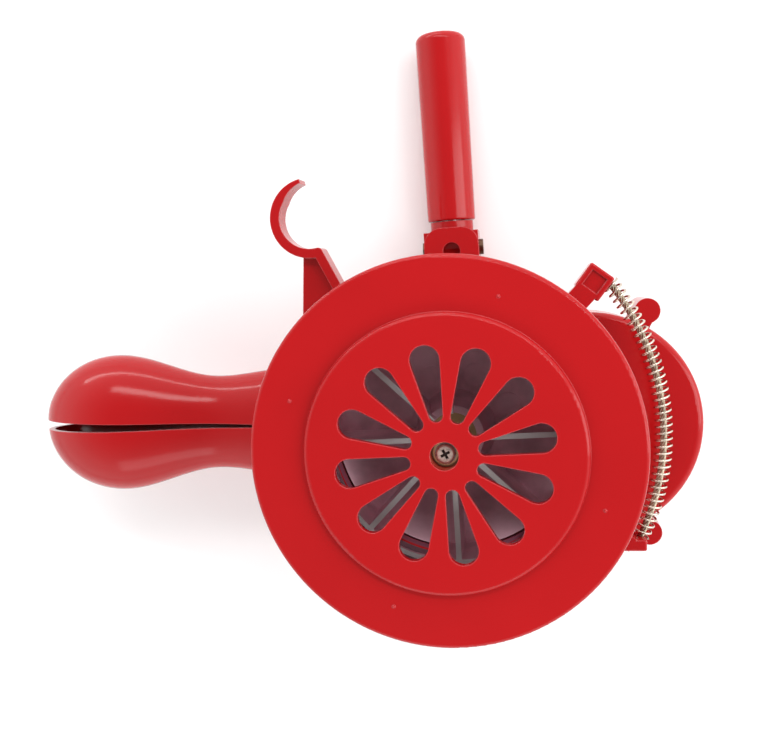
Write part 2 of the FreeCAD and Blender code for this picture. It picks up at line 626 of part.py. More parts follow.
def bushes():
    bore = "rotor_shaft_r + running_gap"
    node("front_bush", ring("FrontBush", "rotor_shaft_r + bush_t", bore,
                            "boss_length - eye_depth", "0", "0", "0 - boss_length"))
    node("rear_bush", ring("RearBush", "rotor_shaft_r + bush_t", bore,
                           "floor_t + bearing_wall", "0", "0", "bush_end"))
    idler = "idler_shaft_r + running_gap"
    node("idler_front_bush", ring("IdlerFrontBush", "idler_shaft_r + idler_bush_t", idler,
                                  "idler_bush_length", "gear_centre", "0", "bush_end"))
    node("idler_rear_bush", ring("IdlerRearBush", "idler_shaft_r + idler_bush_t", idler,
                                 "idler_bush_length", "gear_centre", "0",
                                 "case_back - cover_t / 2"))
    node("crank_bush", ring("CrankBush", "crank_shaft_r + crank_bush_t",
                            "crank_shaft_r + running_gap", "cover_t + cover_boss_length", "0",
                            "0", "boss_end"))
    node("idler_shaft", cylinder("IdlerShaft", "idler_shaft_r",
                                 "case_depth - floor_t - bearing_wall + idler_bush_length"
                                 " + cover_t / 2 - 2 * idler_play",
                                 "gear_centre", "0", "case_back - cover_t / 2 + idler_play"))


# Crank
def teardrop_arm(low, high, hub_r, end_half, reach):
    """Crank arm outline: round hub, tapering to a square-ended knuckle along +Y."""
    side = math.asin((hub_r - end_half) / reach)
    start = Vec(hub_r * math.cos(side), hub_r * math.sin(side))
    left = Vec(-start.x, start.y)
    wire = Part.Wire([
        Part.LineSegment(start, Vec(end_half, reach)).toShape(),
        Part.LineSegment(Vec(end_half, reach), Vec(-end_half, reach)).toShape(),
        Part.LineSegment(Vec(-end_half, reach), left).toShape(),
        Part.Arc(left, Vec(0, -hub_r), start).toShape(),
    ])
    prism = Part.Face(wire).extrude(Vec(0, 0, high - low))
    prism.translate(Vec(0, 0, low))
    return prism


def crank_arm():
    half = size("knuckle_width") / 2
    back, front = size("arm_back"), size("arm_front")
    reach = size("fold_at") - size("eye_round_r") - size("knuckle_gap")
    arm = teardrop_arm(back, front, size("arm_hub_r"), half, reach)
    wall = size("arm_wall")
    room = teardrop_arm(back - PAST, back + size("arm_pocket"), size("arm_hub_r") - wall,
                        half - wall, reach - wall)
    hub = Part.makeCylinder(size("crank_shaft_r") + size("arm_boss_t"), size("arm_t"),
                            Vec(0, 0, back))
    spine = Part.makeBox(wall, reach, size("arm_t"), Vec(-wall / 2, 0, back))
    arm = arm.cut(room.cut(hub).cut(spine))
    # front web with rounded corners, and the hole through which the neck is seen
    top = size("web_top")
    web_low = front - size("web_t")
    web = Part.makeBox(2 * half, top - reach + wall, size("web_t"),
                       Vec(-half, reach - wall, web_low))
    corners = [e for e in web.Edges if abs(e.BoundBox.YMin - top) < 1e-6
               and e.BoundBox.ZLength > size("web_t") / 2]
    web = web.makeFillet(size("web_round"), corners)
    web = web.cut(Part.makeCylinder(size("web_hole_r"), size("web_t") + 2 * PAST,
                                    Vec(0, size("web_hole_at"), web_low - PAST)))
    # two ears that carry the fold pin
    t = size("ear_plate_t")
    r = size("ear_round_r")
    fold, level = size("fold_at"), size("fold_level")
    start = reach - wall
    ears = []
    for x in (-half, half - t):
        ears += [
            Part.makeBox(t, fold + r - start, web_low + size("web_t") / 2 - level,
                         Vec(x, start, level)),
            Part.makeCylinder(r, t, Vec(x, fold, level), X_AXIS),
            Part.makeCylinder(r, t, Vec(x, start + r, level), X_AXIS),
            Part.makeBox(t, fold - start - r, r, Vec(x, start + r, level - r)),
        ]
    solid = arm.multiFuse([web] + ears).removeSplitter()
    pin = Part.makeCylinder(size("fold_pin_r"), 2 * half + 2 * PAST,
                            Vec(-half - PAST, fold, level), X_AXIS)
    shaft = Part.makeCylinder(size("crank_shaft_r"), size("arm_t") + 2 * PAST,
                              Vec(0, 0, back - PAST))
    node("crank_arm", form("CrankArm", solid.cut(pin).cut(shaft)))


def crank_parts():
    nut_low = "arm_back - nut_washer_t - nut_t"
    node("crank_shaft", cylinder("CrankShaft", "crank_shaft_r",
                                 "rear_gears + gear_width + gear_gap - (%s)" % nut_low,
                                 "0", "0", nut_low))
    node("crank_washer", ring("CrankWasher", "nut_washer_r", "crank_shaft_r", "nut_washer_t",
                              "0", "0", "arm_back - nut_washer_t"))
    low = size("arm_back") - size("nut_washer_t") - size("nut_t")
    chamfer = size("nut_chamfer")
    flat_r = size("nut_r") * math.cos(math.radians(30))
    corners = [polar(size("nut_r"), 60 * k) for k in range(6)]
    prism = polygon_face(corners).extrude(Vec(0, 0, size("nut_t")))
    prism.translate(Vec(0, 0, low))
    dome = Part.makeCone(flat_r, flat_r + 1.2 * chamfer, chamfer, Vec(0, 0, low))
    rest = Part.makeCylinder(flat_r + 1.2 * chamfer, size("nut_t") - chamfer,
                             Vec(0, 0, low + chamfer))
    hexagon = form("nut_prism", prism.common(dome.fuse(rest)))
    node("crank_nut", cut("CrankNut", hexagon,
                          cylinder("nut_bore", "crank_shaft_r", "nut_t + 2", "0", "0",
                                   nut_low + " - 1")))
    pin = cylinder("fold_rod", "fold_pin_r", "knuckle_width", "0 - knuckle_width / 2",
                   "fold_at", "fold_level", "x")
    heads = [cylinder("fold_head_right", "fold_head_r", "fold_head_t", "knuckle_width / 2",
                      "fold_at", "fold_level", "x"),
             cylinder("fold_head_left", "fold_head_r", "fold_head_t",
                      "0 - knuckle_width / 2 - fold_head_t", "fold_at", "fold_level", "x")]
    node("fold_pin", fuse("FoldPin", pin, *heads))


def crank_grip():
    half = "(knuckle_width / 2 - ear_plate_t - eye_gap)"
    eye = cylinder("neck_eye", "eye_round_r", "2 * " + half, "0 - " + half, "fold_at",
                   "fold_level", "x")
    stem = box("neck_stem", "2 * " + half, "collar_at - fold_at", "2 * eye_round_r",
               "0 - " + half, "fold_at", "fold_level - eye_round_r")
    rounded = common("neck_round", stem, cylinder("neck_bar", half + " * 1.15",
                                                  "collar_at - fold_at", "0", "fold_at",
                                                  "fold_level", "y"))
    collar = cylinder("neck_collar", "collar_r", "collar_length", "0", "collar_at",
                      "fold_level", "y")
    pin_hole = cylinder("neck_pin_hole", "fold_pin_r + running_gap", "knuckle_width",
                        "0 - knuckle_width / 2", "fold_at", "fold_level", "x")
    socket = cylinder("neck_socket", "spindle_r", "spindle_seat + collar_length + 1", "0",
                      "collar_at - spindle_seat", "fold_level", "y")
    node("grip_neck", cut("GripNeck", fuse("neck_solid", eye, rounded, collar), pin_hole,
                          socket))
    node("grip_spindle", cylinder("GripSpindle", "spindle_r", "spindle_length", "0",
                                  "collar_at - spindle_seat", "fold_level", "y"))
    node("spindle_clip", cylinder("SpindleClip", "clip_r", "clip_t", "0", "clip_at",
                                  "fold_level", "y"))
    length = size("sleeve_length")
    body = Part.makeCone(size("sleeve_r"), size("sleeve_end_r"), length)
    body = body.makeFillet(size("sleeve_round"), flat_edges(body, length))
    body = body.makeFillet(size("sleeve_foot_round"), flat_edges(body, 0))
    low = size("collar_at") + size("collar_length") + size("sleeve_gap")
    body.Placement = FreeCAD.Placement(Vec(0, low, size("fold_level")), ALONG["y"])
    sleeve_low = "collar_at + collar_length + sleeve_gap"
    rod_room = cylinder("sleeve_bore", "spindle_r + running_gap",
                        "clip_at - (%s) + 1" % sleeve_low, "0", sleeve_low + " - 1",
                        "fold_level", "y")
    clip_room = cylinder("sleeve_clip_room", "clip_r + clip_room", "clip_t + 2 * clip_room",
                         "0", "clip_at - clip_room", "fold_level", "y")
    node("grip_sleeve", cut("GripSleeve", form("sleeve_body", body), rod_room, clip_room))


# Folding legs
def leg_solid(shrink):
    """Half of the grip's round body, made smaller all round by shrink, on the +Y side."""
    root = size("leg_root")
    spots = [
        (size("leg_reach") - shrink, 0.0),
        (size("shoulder_at") - shrink / 2, size("shoulder_half") - shrink),
        (size("bulb_at"), size("bulb_half") - shrink),
        (size("neck_at"), size("neck_half") - shrink),
        (size("flare_at"), size("flare_half") - shrink),
        (root, size("leg_root_half") - shrink),
    ]
    points = [Vec(-x, y, 0) for x, y in spots]
    curve = Part.BSplineCurve()
    curve.interpolate(Points=points, InitialTangent=Y_AXIS, FinalTangent=X_AXIS, Scale=False)
    outline = Part.Wire([
        curve.toShape(),
        Part.LineSegment(points[-1], Vec(-root, 0, 0)).toShape(),
        Part.LineSegment(Vec(-root, 0, 0), points[0]).toShape(),
    ])
    half = Part.Face(outline).revolve(Vec(), X_AXIS, 180)
    half.rotate(Vec(), X_AXIS, -90)
    flat = FreeCAD.Matrix()
    flat.scale(Vec(1, 1, size("leg_flatness")))
    return half.transformGeometry(flat)


def leg(label, side, rest_turn):
    """One leg, built on the +Y side about its pin and mirrored for the lower one."""
    pin_at = size("leg_pin_at")
    pin = Vec(-pin_at, size("leg_pin_out"), 0)
    thick = size("case_depth") - 2 * (size("yoke_t") + size("yoke_gap"))
    boss_r = size("leg_boss_r")
    wide = 2 * size("bulb_half")
    solid_to = pin_at + boss_r + size("leg_solid_out")
    solid_root = Part.makeBox(solid_to, wide, wide, Vec(-solid_to, -wide / 2, -wide / 2))
    shell = leg_solid(0.0).cut(leg_solid(size("leg_wall")).cut(solid_root))
    # the root is flat and round so that it turns between the yoke plates
    flat_to = pin_at + boss_r + size("leg_boss_r") / 4
    above = Part.makeBox(flat_to, wide, wide, Vec(-flat_to, -wide / 2, thick / 2))
    below = Part.makeBox(flat_to, wide, wide, Vec(-flat_to, -wide / 2, -thick / 2 - wide))
    behind = Part.makeBox(pin_at, wide, wide, Vec(-pin_at, -wide / 2, -wide / 2))
    root = Part.makeCylinder(boss_r, thick, pin + Vec(0, 0, -thick / 2))
    body = shell.cut(above).cut(below).cut(behind).fuse(root).removeSplitter()
    # flat parting face, set back by half of the gap between the legs
    reach = size("leg_reach")
    parting = Part.makeBox(2 * reach, wide, wide,
                           Vec(-1.5 * reach, size("parting_gap") - wide, -wide / 2))
    hole = Part.makeCylinder(size("leg_pin_r") + size("running_gap"), thick + 2 * PAST,
                             pin + Vec(0, 0, -thick / 2 - PAST))
    body = body.cut(parting).cut(hole)
    body.rotate(pin, Z_AXIS, -rest_turn)
    if side < 0:
        body = body.mirror(Vec(), Y_AXIS)
    body.translate(Vec(0, size("leg_centre"), size("case_back") + size("case_depth") / 2))
    node(label, form(label + "_form", body))


def leg_pins():
    for label, sign in (("leg_pin_upper", "+"), ("leg_pin_lower", "-")):
        x, y = "0 - leg_pin_at", "leg_centre %s leg_pin_out" % sign
        rod = cylinder(label + "_rod", "leg_pin_r", "case_depth", x, y, "case_back")
        lower = cylinder(label + "_foot", "leg_head_r", "leg_head_t", x, y,
                         "case_back - leg_head_t")
        upper = cylinder(label + "_head", "leg_head_r", "leg_head_t", x, y, "0 - drum_depth")
        node(label, fuse(label + "_pin", rod, lower, upper))


# Hook
def hook():
    centre = Vec(size("hook_x"), size("hook_y"))
    outer = size("hook_outer_r")
    t = size("hook_strip_t")
    mid = outer - t / 2
    deep = size("hook_depth")
    low = -size("hook_level") - deep
    seat = size("drum_r")
    base = centre + Vec(0, 0, low)
    # the ring opens to the right, and its tip is thinned from the inside
    tip_turn = 90 + math.degrees(size("hook_tip_past") / outer)
    strip_turn = size("hook_strip_start")
    band = Part.makeCylinder(outer, deep, base).cut(Part.makeCylinder(outer - t, deep, base))
    far = 3 * outer
    side = polygon_face([centre, centre + polar(far, tip_turn), centre + Vec(far, far),
                         centre + Vec(far, -far), centre + polar(far, strip_turn)])
    opening = side.extrude(Vec(0, 0, deep + 2 * PAST))
    opening.translate(Vec(0, 0, low - PAST))
    thin = Part.makeCylinder(outer - t, deep + 2 * PAST, centre + Vec(
        t / 3, t - size("hook_tip_t"), low - PAST))
    lower_half = Part.makeBox(far, far, deep + 2 * PAST,
                              Vec(centre.x - far / 2, centre.y - far, low - PAST))
    band = band.cut(opening).cut(thin.cut(lower_half))
    # the strip leaves the ring and runs down to the drum
    joint = centre + polar(mid, strip_turn)
    way = polar(1.0, 270 + size("hook_turn"))
    across = Vec(-way.y, way.x)
    end = joint + way * (along_to_circle(joint, way, seat) + size("foot_t"))
    strip = polygon_face([joint - across * (t / 2), joint + across * (t / 2),
                          end + across * (t / 2), end - across * (t / 2)])
    strip = strip.extrude(Vec(0, 0, deep))
    strip.translate(Vec(0, 0, low))
    knee = Part.makeCylinder(t / 2, deep, joint + Vec(0, 0, low))
    foot_at = math.degrees(math.atan2(end.y, end.x))
    foot = wall_plate(foot_at - size("foot_spread"), foot_at + 2 * size("foot_spread"),
                      size("foot_t"), low, deep)
    # a thin web fills the corner between ring, strip and drum
    web_t = size("hook_web_t")
    web_corner = centre + polar(mid, size("hook_web_start"))
    web_foot = polar(seat, size("hook_web_foot"))
    web_side = Vec(web_corner.x - web_t / 2, web_foot.y + web_t * 2)
    web = polygon_face([web_corner, joint, end, polar(seat, foot_at), web_foot, web_side])
    web = web.extrude(Vec(0, 0, web_t))
    web.translate(Vec(0, 0, low + (deep - web_t) / 2))
    solid = band.multiFuse([strip, knee, foot, web]).removeSplitter()
    drum_room = Part.makeCylinder(seat, 3 * deep, Vec(0, 0, low - deep))
    node("hanging_hook", form("HangingHook", solid.cut(drum_room)))


def wall_plate(start, stop, thick, low, height):
    """A curved plate on the drum's round wall between two angles."""
    near = size("drum_r")
    outer = Part.makeCylinder(near + thick, height, Vec(0, 0, low), Z_AXIS, stop - start)
    inner = Part.makeCylinder(near, height, Vec(0, 0, low), Z_AXIS, stop - start)
    return outer.cut(inner).rotated(Vec(), Z_AXIS, start)


def along_to_circle(point, way, radius):
    """Distance from point along way to the circle of this radius about the drum axis."""
    b = point.x * way.x + point.y * way.y
    c = point.x ** 2 + point.y ** 2 - radius ** 2
    return -b - math.sqrt(b * b - c)


# Strap
def block(centre, along, across, turn, low, height):
    shape = Part.makeBox(along, across, height, Vec(-along / 2, -across / 2, low))
    upright = [e for e in shape.Edges if e.BoundBox.ZLength > height / 2]
    shape = shape.makeFillet(size("block_round"), upright + flat_edges(shape, low + height))
    return shape.rotated(Vec(), Z_AXIS, turn).translated(centre)


def strap():
    deep = size("block_depth")
    low = -size("strap_level") - deep / 2
    arm_low = low + deep - size("arm_depth")
    side = size("block_side")
    seat = Part.makeCylinder(size("drum_r"), 4 * deep, Vec(0, 0, low - deep))
    room = cable_solid(size("cable_r") + size("running_gap"), size("cable_past") * 1.1)
    sets = (("strap_anchor_upper", size("block_at"), size("block_ring_r"), side,
             size("block_turn"), size("arm_width")),
            ("strap_anchor_lower", size("lug_at"), size("lug_ring_r"), size("lug_side"), 0.0,
             size("lug_arm_width")))
    for label, angle, radius, across, turn, arm_width in sets:
        head = block(polar(radius, angle), side, across, turn, low, deep)
        arm = rib(angle, size("drum_r"), radius, arm_width, arm_low, size("arm_depth"))
        foot = wall_plate(angle - size("foot_spread"), angle + size("foot_spread"),
                          size("foot_t"), arm_low, size("arm_depth"))
        solid = head.multiFuse([arm, foot]).removeSplitter().cut(seat).cut(room)
        if label == "strap_anchor_upper":
            solid = solid.cut(block_window(polar(radius, angle), turn, low + deep))
        node(label, form(label + "_form", solid))
    node("strap_cable", form("StrapCable", cable_solid(size("cable_r"), size("cable_past"))))
    node("strap_spring", form("StrapSpring", spring_solid()))


def strap_angle(face_turn, centre, depth, side):
    """Where the cable's arc meets an anchor's face, in degrees about the arc's centre."""
    normal = polar(1.0, face_turn)
    reach = centre.dot(normal) + depth - Vec(size("strap_x"), size("strap_y")).dot(normal)
    return face_turn + side * math.degrees(math.acos(reach / size("strap_r")))


def strap_ends():
    """Angles of the cable's arc at the upper block and at the lower lug."""
    block_centre = polar(size("block_ring_r"), size("block_at"))
    lug_centre = polar(size("lug_ring_r"), size("lug_at"))
    return (strap_angle(size("block_turn") - 90, block_centre, size("block_side") / 2, 1),
            strap_angle(90, lug_centre, size("lug_side") / 2, -1))


def block_window(centre, turn, high):
    """Shallow square recess in the front face of the upper block."""
    side = size("window_side")
    depth = size("window_depth")
    shape = Part.makeBox(side, side, depth + PAST, Vec(-side / 2, -side / 2, high - depth))
    return shape.rotated(Vec(), Z_AXIS, turn).translated(centre)


def cable_solid(radius, past):
    """Round cable on the strap's arc, past millimetres into each anchor."""
    upper_end, lower_end = strap_ends()
    turn = math.degrees(past / size("strap_r"))
    start = lower_end - turn
    stop = upper_end + turn
    level = -size("strap_level")
    ring_centre = Vec(size("strap_r"), 0, level)
    disc = Part.Face(Part.Wire(Part.makeCircle(radius, ring_centre, Y_AXIS)))
    disc.rotate(Vec(), Z_AXIS, start)
    solid = disc.revolve(Vec(), Z_AXIS, stop - start)
    return solid.translated(Vec(size("strap_x"), size("strap_y")))


def biarc(p0, t0, p1, t1):
    """Two arcs from p0 to p1 that leave along t0 and arrive along t1."""
    v = p1 - p0
    t = t0 + t1
    same = 2 * (1 - t0.dot(t1))
    vt = v.dot(t)
    vv = v.dot(v)
    d = (math.sqrt(vt * vt + same * vv) - vt) / same if same > 1e-9 else vv / (4 * v.dot(t1))
    q0, q1 = p0 + t0 * d, p1 - t1 * d
    middle = (q0 + q1) * 0.5
    return [arc(p0, q0, middle), arc(middle, q1, p1)]


def arc(start, corner, stop):
    chord = stop - start
    half = (start + stop) * 0.5
    lean = (corner - start).normalize().dot(Vec(chord).normalize())
    apex = half + (corner - half) * (lean / (1 + lean))
    return Part.Arc(start, apex, stop)


def spring_solid():
    """Coil of one unbroken wire round the cable, by quarter turns."""
    level = -size("strap_level")
    centre_r = size("strap_r")
    coil = size("coil_r")
    turns = size("coil_turns")
    wire = size("wire_r")
    start, stop = (math.radians(angle) for angle in strap_ends())
    # the coil stands clear of both anchors by the room that its ends need
    lead = -size("coil_lead") * coil / centre_r
    span = stop - start - 2 * lead

    def about(radius, angle, z):
        return Vec(size("strap_x") + radius * math.cos(angle),
                   size("strap_y") + radius * math.sin(angle), z)

    def point(turn):
        phase = 2 * math.pi * turn - math.pi / 2
        return about(centre_r + coil * math.cos(phase), start + lead + span * turn / turns,
                     level + coil * math.sin(phase))

    def tangent(turn):
        step = 1e-4
        return (point(turn + step) - point(turn - step)).normalize()

    stations = [k / 4 for k in range(int(round(4 * turns)) + 1)]
    points = [point(s) for s in stations]
    tangents = [tangent(s) for s in stations]
    # straight ends, one wire diameter long, square to the anchors
    run = 2 * wire
    along = polar(1.0, size("block_turn") - 90)
    out = Vec(0, -1, 0)

    def on_face(angle, normal):
        side = about(centre_r + coil / 4, angle, level - coil)
        return side - normal * (side - about(centre_r, angle, level)).dot(normal)

    enter, leave = on_face(start, along), on_face(stop, out)
    edges = [Part.LineSegment(enter, enter + along * run)]
    edges += biarc(enter + along * run, along, points[0], tangents[0])
    for k in range(len(points) - 1):
        edges += biarc(points[k], tangents[k], points[k + 1], tangents[k + 1])
    edges += biarc(points[-1], tangents[-1], leave - out * run, out)
    edges.append(Part.LineSegment(leave - out * run, leave))
    path = Part.Wire([e.toShape() for e in edges])
    profile = Part.Wire(Part.makeCircle(wire, enter, along))
    solid = path.makePipeShell([profile], True, False)
    print("strap from %.2f to %.2f degrees" % strap_ends())
    print("spring: %.0f turns, path %.1f mm, volume %.1f of %.1f mm3, least gap %.2f mm" % (
        turns, path.Length, solid.Volume, path.Length * math.pi * wire * wire,
        least_gap(path, wire)))
    return solid


def least_gap(path, wire):
    """Least clear distance between turns of the wire, measured on points."""
    step = 0.5
    points = path.discretize(Distance=step)
    skip = int(round(math.pi * size("coil_r") / step))
    window = int(round(4 * math.pi * size("coil_r") / step))
    best = 1e9
    for i in range(0, len(points), 2):
        for j in range(i + skip, min(i + window, len(points))):
            best = min(best, points[i].distanceToPoint(points[j]))
    return best - 2 * wire


def fasteners():
    node("cover_screws", screws("CoverScrews", ring_spots("post_ring_r", "post_turn"),
                                "(0 - flange_t - post_length - lug_t - screw_head_t)",
                                "lug_t + post_length - 1"))
    node("drum_screws", screws("DrumScrews", rear_spots(),
                               "(0 - drum_depth - lug_t - screw_head_t)",
                               "lug_t + rear_post_length - 2"))
    node("case_screws", screws("CaseScrews", case_ears(),
                               "(cover_back - screw_head_t)", "cover_t + case_depth / 2 - 1"))


def settle():
    """Turn the crank to its rest angle and put the origin at the bottom centre of the box."""
    crank = ("crank_arm", "crank_shaft", "crank_washer", "crank_nut", "fold_pin", "grip_neck",
             "grip_spindle", "spindle_clip", "grip_sleeve")
    turn = FreeCAD.Placement(Vec(), FreeCAD.Rotation(Z_AXIS, size("crank_rest_turn")), Vec())
    final = []
    for obj in nodes:
        extra = turn if obj.Label in crank else FreeCAD.Placement()
        shape = obj.Shape.copy()
        shape.Placement = extra.multiply(shape.Placement)
        final.append(shape)
    box_all = FreeCAD.BoundBox()
    for shape in final:
        box_all.add(shape.optimalBoundingBox(False, False))
    shift = FreeCAD.Placement(Vec(-box_all.Center.x, -box_all.Center.y, -box_all.ZMin),
                              FreeCAD.Rotation())
    for obj in nodes:
        extra = turn if obj.Label in crank else FreeCAD.Placement()
        for prop in ("x", "y", "z"):
            obj.setExpression("Placement.Base." + prop, None)
        obj.Placement = shift.multiply(extra).multiply(obj.Placement)
    return shift.Base, box_all


front_cover()
drum()
gear_case()
gear_cover()
gears()
rotor()
rotor_shaft()
bushes()
crank_arm()
crank_parts()
crank_grip()
leg("leg_upper", 1, size("upper_rest_turn"))
leg("leg_lower", -1, size("lower_rest_turn"))
leg_pins()
hook()
strap()
fasteners()
doc.recompute()


def check_objects():
    faults = [o.Name for o in doc.Objects if "Invalid" in o.State or "Error" in o.State]
    for obj in nodes:
        if obj.Shape.isNull() or not obj.Shape.isValid():
            faults.append(obj.Label + ": shape")
    if faults:
        raise RuntimeError("objects failed: " + ", ".join(faults))


check_objects()
shift, box_all = settle()
doc.recompute()
check_objects()
os.makedirs("parts", exist_ok=True)
for obj in nodes:
    obj.Shape.exportStep("parts/%s.step" % obj.Label)
    print("%-20s solids %d  volume %8.0f" % (obj.Label, len(obj.Shape.Solids),
                                            obj.Shape.Volume))
print("axis at %.3f %.3f, flange face at %.3f" % tuple(shift))
print("size %.2f %.2f %.2f" % (box_all.XLength, box_all.YLength, box_all.ZLength))
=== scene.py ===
import math

import bmesh
import bpy
from mathutils import Matrix, Vector


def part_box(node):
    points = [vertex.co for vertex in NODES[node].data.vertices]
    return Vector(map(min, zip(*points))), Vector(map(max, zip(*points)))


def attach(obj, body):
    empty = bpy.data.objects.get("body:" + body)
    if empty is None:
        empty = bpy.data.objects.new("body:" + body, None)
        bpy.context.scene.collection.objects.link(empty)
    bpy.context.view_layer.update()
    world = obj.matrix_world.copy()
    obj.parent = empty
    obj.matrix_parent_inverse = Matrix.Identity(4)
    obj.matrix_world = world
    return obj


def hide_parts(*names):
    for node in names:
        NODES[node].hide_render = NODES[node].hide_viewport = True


bl_info = {
    "name": "Hand Crank Siren Dresser",
    "version": (1, 0, 0),
    "blender": (4, 5, 0),
    "location": "View3D > Sidebar > Siren",
    "description": "Finishes, fasteners, strap spring and photo stage for a hand crank siren",
    "category": "Object",
}

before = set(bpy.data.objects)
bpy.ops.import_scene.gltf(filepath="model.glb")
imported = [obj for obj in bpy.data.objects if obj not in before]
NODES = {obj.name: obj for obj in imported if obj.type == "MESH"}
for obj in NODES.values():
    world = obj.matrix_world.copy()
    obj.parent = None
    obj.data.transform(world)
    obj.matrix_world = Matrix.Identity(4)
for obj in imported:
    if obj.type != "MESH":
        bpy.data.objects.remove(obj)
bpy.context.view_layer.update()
MM = 0.001
TAU = 2 * math.pi

# Places taken from the frame: the drum axis and the flange's front face
COVER_LOW, COVER_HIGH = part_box("front_cover")
AXIS_X = (COVER_LOW[0] + COVER_HIGH[0]) / 2
AXIS_Y = (COVER_LOW[1] + COVER_HIGH[1]) / 2
DISC_UP = 2.7 * MM
FACE_Z = COVER_HIGH[2] - DISC_UP


def from_axis(x, y, z):
    """A point given in millimetres from the drum axis and the flange's face."""
    return Vector((AXIS_X + x * MM, AXIS_Y + y * MM, FACE_Z + z * MM))


def colour(name, description, default):
    return bpy.props.FloatVectorProperty(
        name=name, description=description, subtype="COLOR", size=3, min=0, max=1,
        default=default)


def length(name, description, millimetres):
    return bpy.props.FloatProperty(
        name=name, description=description, subtype="DISTANCE", unit="LENGTH",
        default=millimetres * MM)


def angle(name, description, degrees):
    return bpy.props.FloatProperty(
        name=name, description=description, subtype="ANGLE", unit="ROTATION",
        default=math.radians(degrees))


def factor(name, description, default):
    return bpy.props.FloatProperty(
        name=name, description=description, subtype="FACTOR", min=0, max=1, default=default)


def watts(name, description, power):
    return bpy.props.FloatProperty(
        name=name, description=description + ", in watts", default=power, min=0)


class SirenFinishes(bpy.types.PropertyGroup):
    """Colours and gloss of the siren's materials."""
    plastic_red: colour("Plastic red", "Colour of the moulded parts", (0.385, 0.0045, 0.0062))
    plastic_gloss: factor("Plastic roughness", "Roughness of the moulded parts", 0.14)
    aluminium: colour("Aluminium", "Colour of the rotor casting", (0.92, 0.55, 0.64))
    brass: colour("Brass", "Colour of the hub bush and washer", (0.90, 0.64, 0.34))
    bronze: colour("Bronze", "Colour of the bearing bushes", (0.44, 0.29, 0.16))
    acetal: colour("Acetal", "Colour of the moulded gears", (0.80, 0.78, 0.70))
    steel: colour("Steel", "Colour of shafts, pins and screws", (0.58, 0.57, 0.56))
    spring_steel: colour("Spring steel", "Colour of the strap spring", (0.70, 0.61, 0.51))
    cable_steel: colour("Cable steel", "Colour of the strap cable", (0.50, 0.40, 0.30))
    screw_bronze: colour("Screw", "Colour of the centre screw", (0.86, 0.70, 0.61))
    pin_bronze: colour("Fold pin", "Colour of the crank's fold pin", (0.16, 0.09, 0.06))


class SirenStrap(bpy.types.PropertyGroup):
    """Sizes of the strap's cable and coil spring."""
    arc_radius: length("Arc radius", "Radius of the cable's centre line", 86.6)
    arc_x: length("Arc centre X", "Arc centre from the drum axis, towards the housing", -13.6)
    arc_y: length("Arc centre Y", "Arc centre from the drum axis, towards the crank", -1.0)
    level: length("Depth", "Depth of the cable behind the flange's face", 46.5)
    start: angle("Upper end", "Angle at which the spring meets the upper block", 37.28)
    stop: angle("Lower end", "Angle at which the spring meets the lower lug", -25.16)
    coil_radius: length("Coil radius", "Mean radius of the coils", 2.8)
    wire_radius: length("Wire radius", "Radius of the spring wire", 0.38)
    turns: bpy.props.FloatProperty(
        name="Turns", description="Number of coils", default=39.0, min=1)
    cable_radius: length("Cable radius", "Radius of the cable", 1.2)
    strands: bpy.props.IntProperty(
        name="Strands", description="Strands laid round the cable", default=7, min=3)
    lay: bpy.props.FloatProperty(
        name="Lay", description="Turns of the strands along the cable", default=9.0)


class SirenScrews(bpy.types.PropertyGroup):
    """Sizes of the cross recess screws."""
    head_radius: length("Head radius", "Radius of a case screw's head", 2.8)
    head_height: length("Head height", "Height of a case screw's head", 1.9)
    shank_radius: length("Shank radius", "Radius of a case screw's shank", 1.4)
    centre_head_radius: length("Centre head radius", "Head radius of the shaft screw", 3.2)
    centre_head_height: length("Centre head height", "Head height of the shaft screw", 2.0)
    centre_shank_radius: length("Centre shank", "Shank radius of the shaft screw", 1.5)
    recess_width: length("Recess width", "Width of a wing of the cross recess", 0.95)
    recess_depth: length("Recess depth", "Depth of the cross recess", 1.25)


class SirenStage(bpy.types.PropertyGroup):
    """Floor, light and camera."""
    floor_colour: colour("Floor", "Colour of the floor", (0.92, 0.92, 0.92))
    focal_pixels: bpy.props.FloatProperty(
        name="Focal length", description="Focal length in pixels of the photo", default=1000.0)
    photo_width: bpy.props.IntProperty(
        name="Photo width", description="Width of the photo in pixels", default=764)
    tilt: angle("Tilt", "Turn of the view about its horizontal axis", 5.74)
    swing: angle("Swing", "Turn of the view about its vertical axis", -8.03)
    roll: angle("Roll", "Turn of the view about its line of sight", 2.0)
    shift_x: length("Across", "Drum axis right of the line of sight", 19.728)
    shift_y: length("Up", "Drum axis above the line of sight", -24.816)
    distance: length("Distance", "Distance from the lens to the flange's face", 314.129)
    key_power: watts("Key light", "Wide soft box above the crank's end", 4.4)
    fill_power: watts("Fill light", "Soft box at the right", 3.6)
    strip_power: watts("Strip light", "Narrow strip at the upper left", 1.5)
    low_power: watts("Low light", "Soft box below the part in the photo", 1.2)
    ambient: bpy.props.FloatProperty(
        name="Ambient", description="Strength of the white surroundings", default=1.6, min=0)
    overhead: factor("Overhead", "Share of the ambient light that is left straight above", 0.25)


# Shared shader groups

def shader_group(name, inputs, outputs):
    group = bpy.data.node_groups.new(name, "ShaderNodeTree")
    kinds = {"colour": "NodeSocketColor", "value": "NodeSocketFloat", "vector": "NodeSocketVector"}
    for socket_name, kind, default in inputs:
        socket = group.interface.new_socket(socket_name, in_out="INPUT", socket_type=kinds[kind])
        if default is not None:
            socket.default_value = default
    for socket_name, kind in outputs:
        group.interface.new_socket(socket_name, in_out="OUTPUT", socket_type=kinds[kind])
    entry = group.nodes.new("NodeGroupInput")
    leave = group.nodes.new("NodeGroupOutput")
    return group, entry, leave


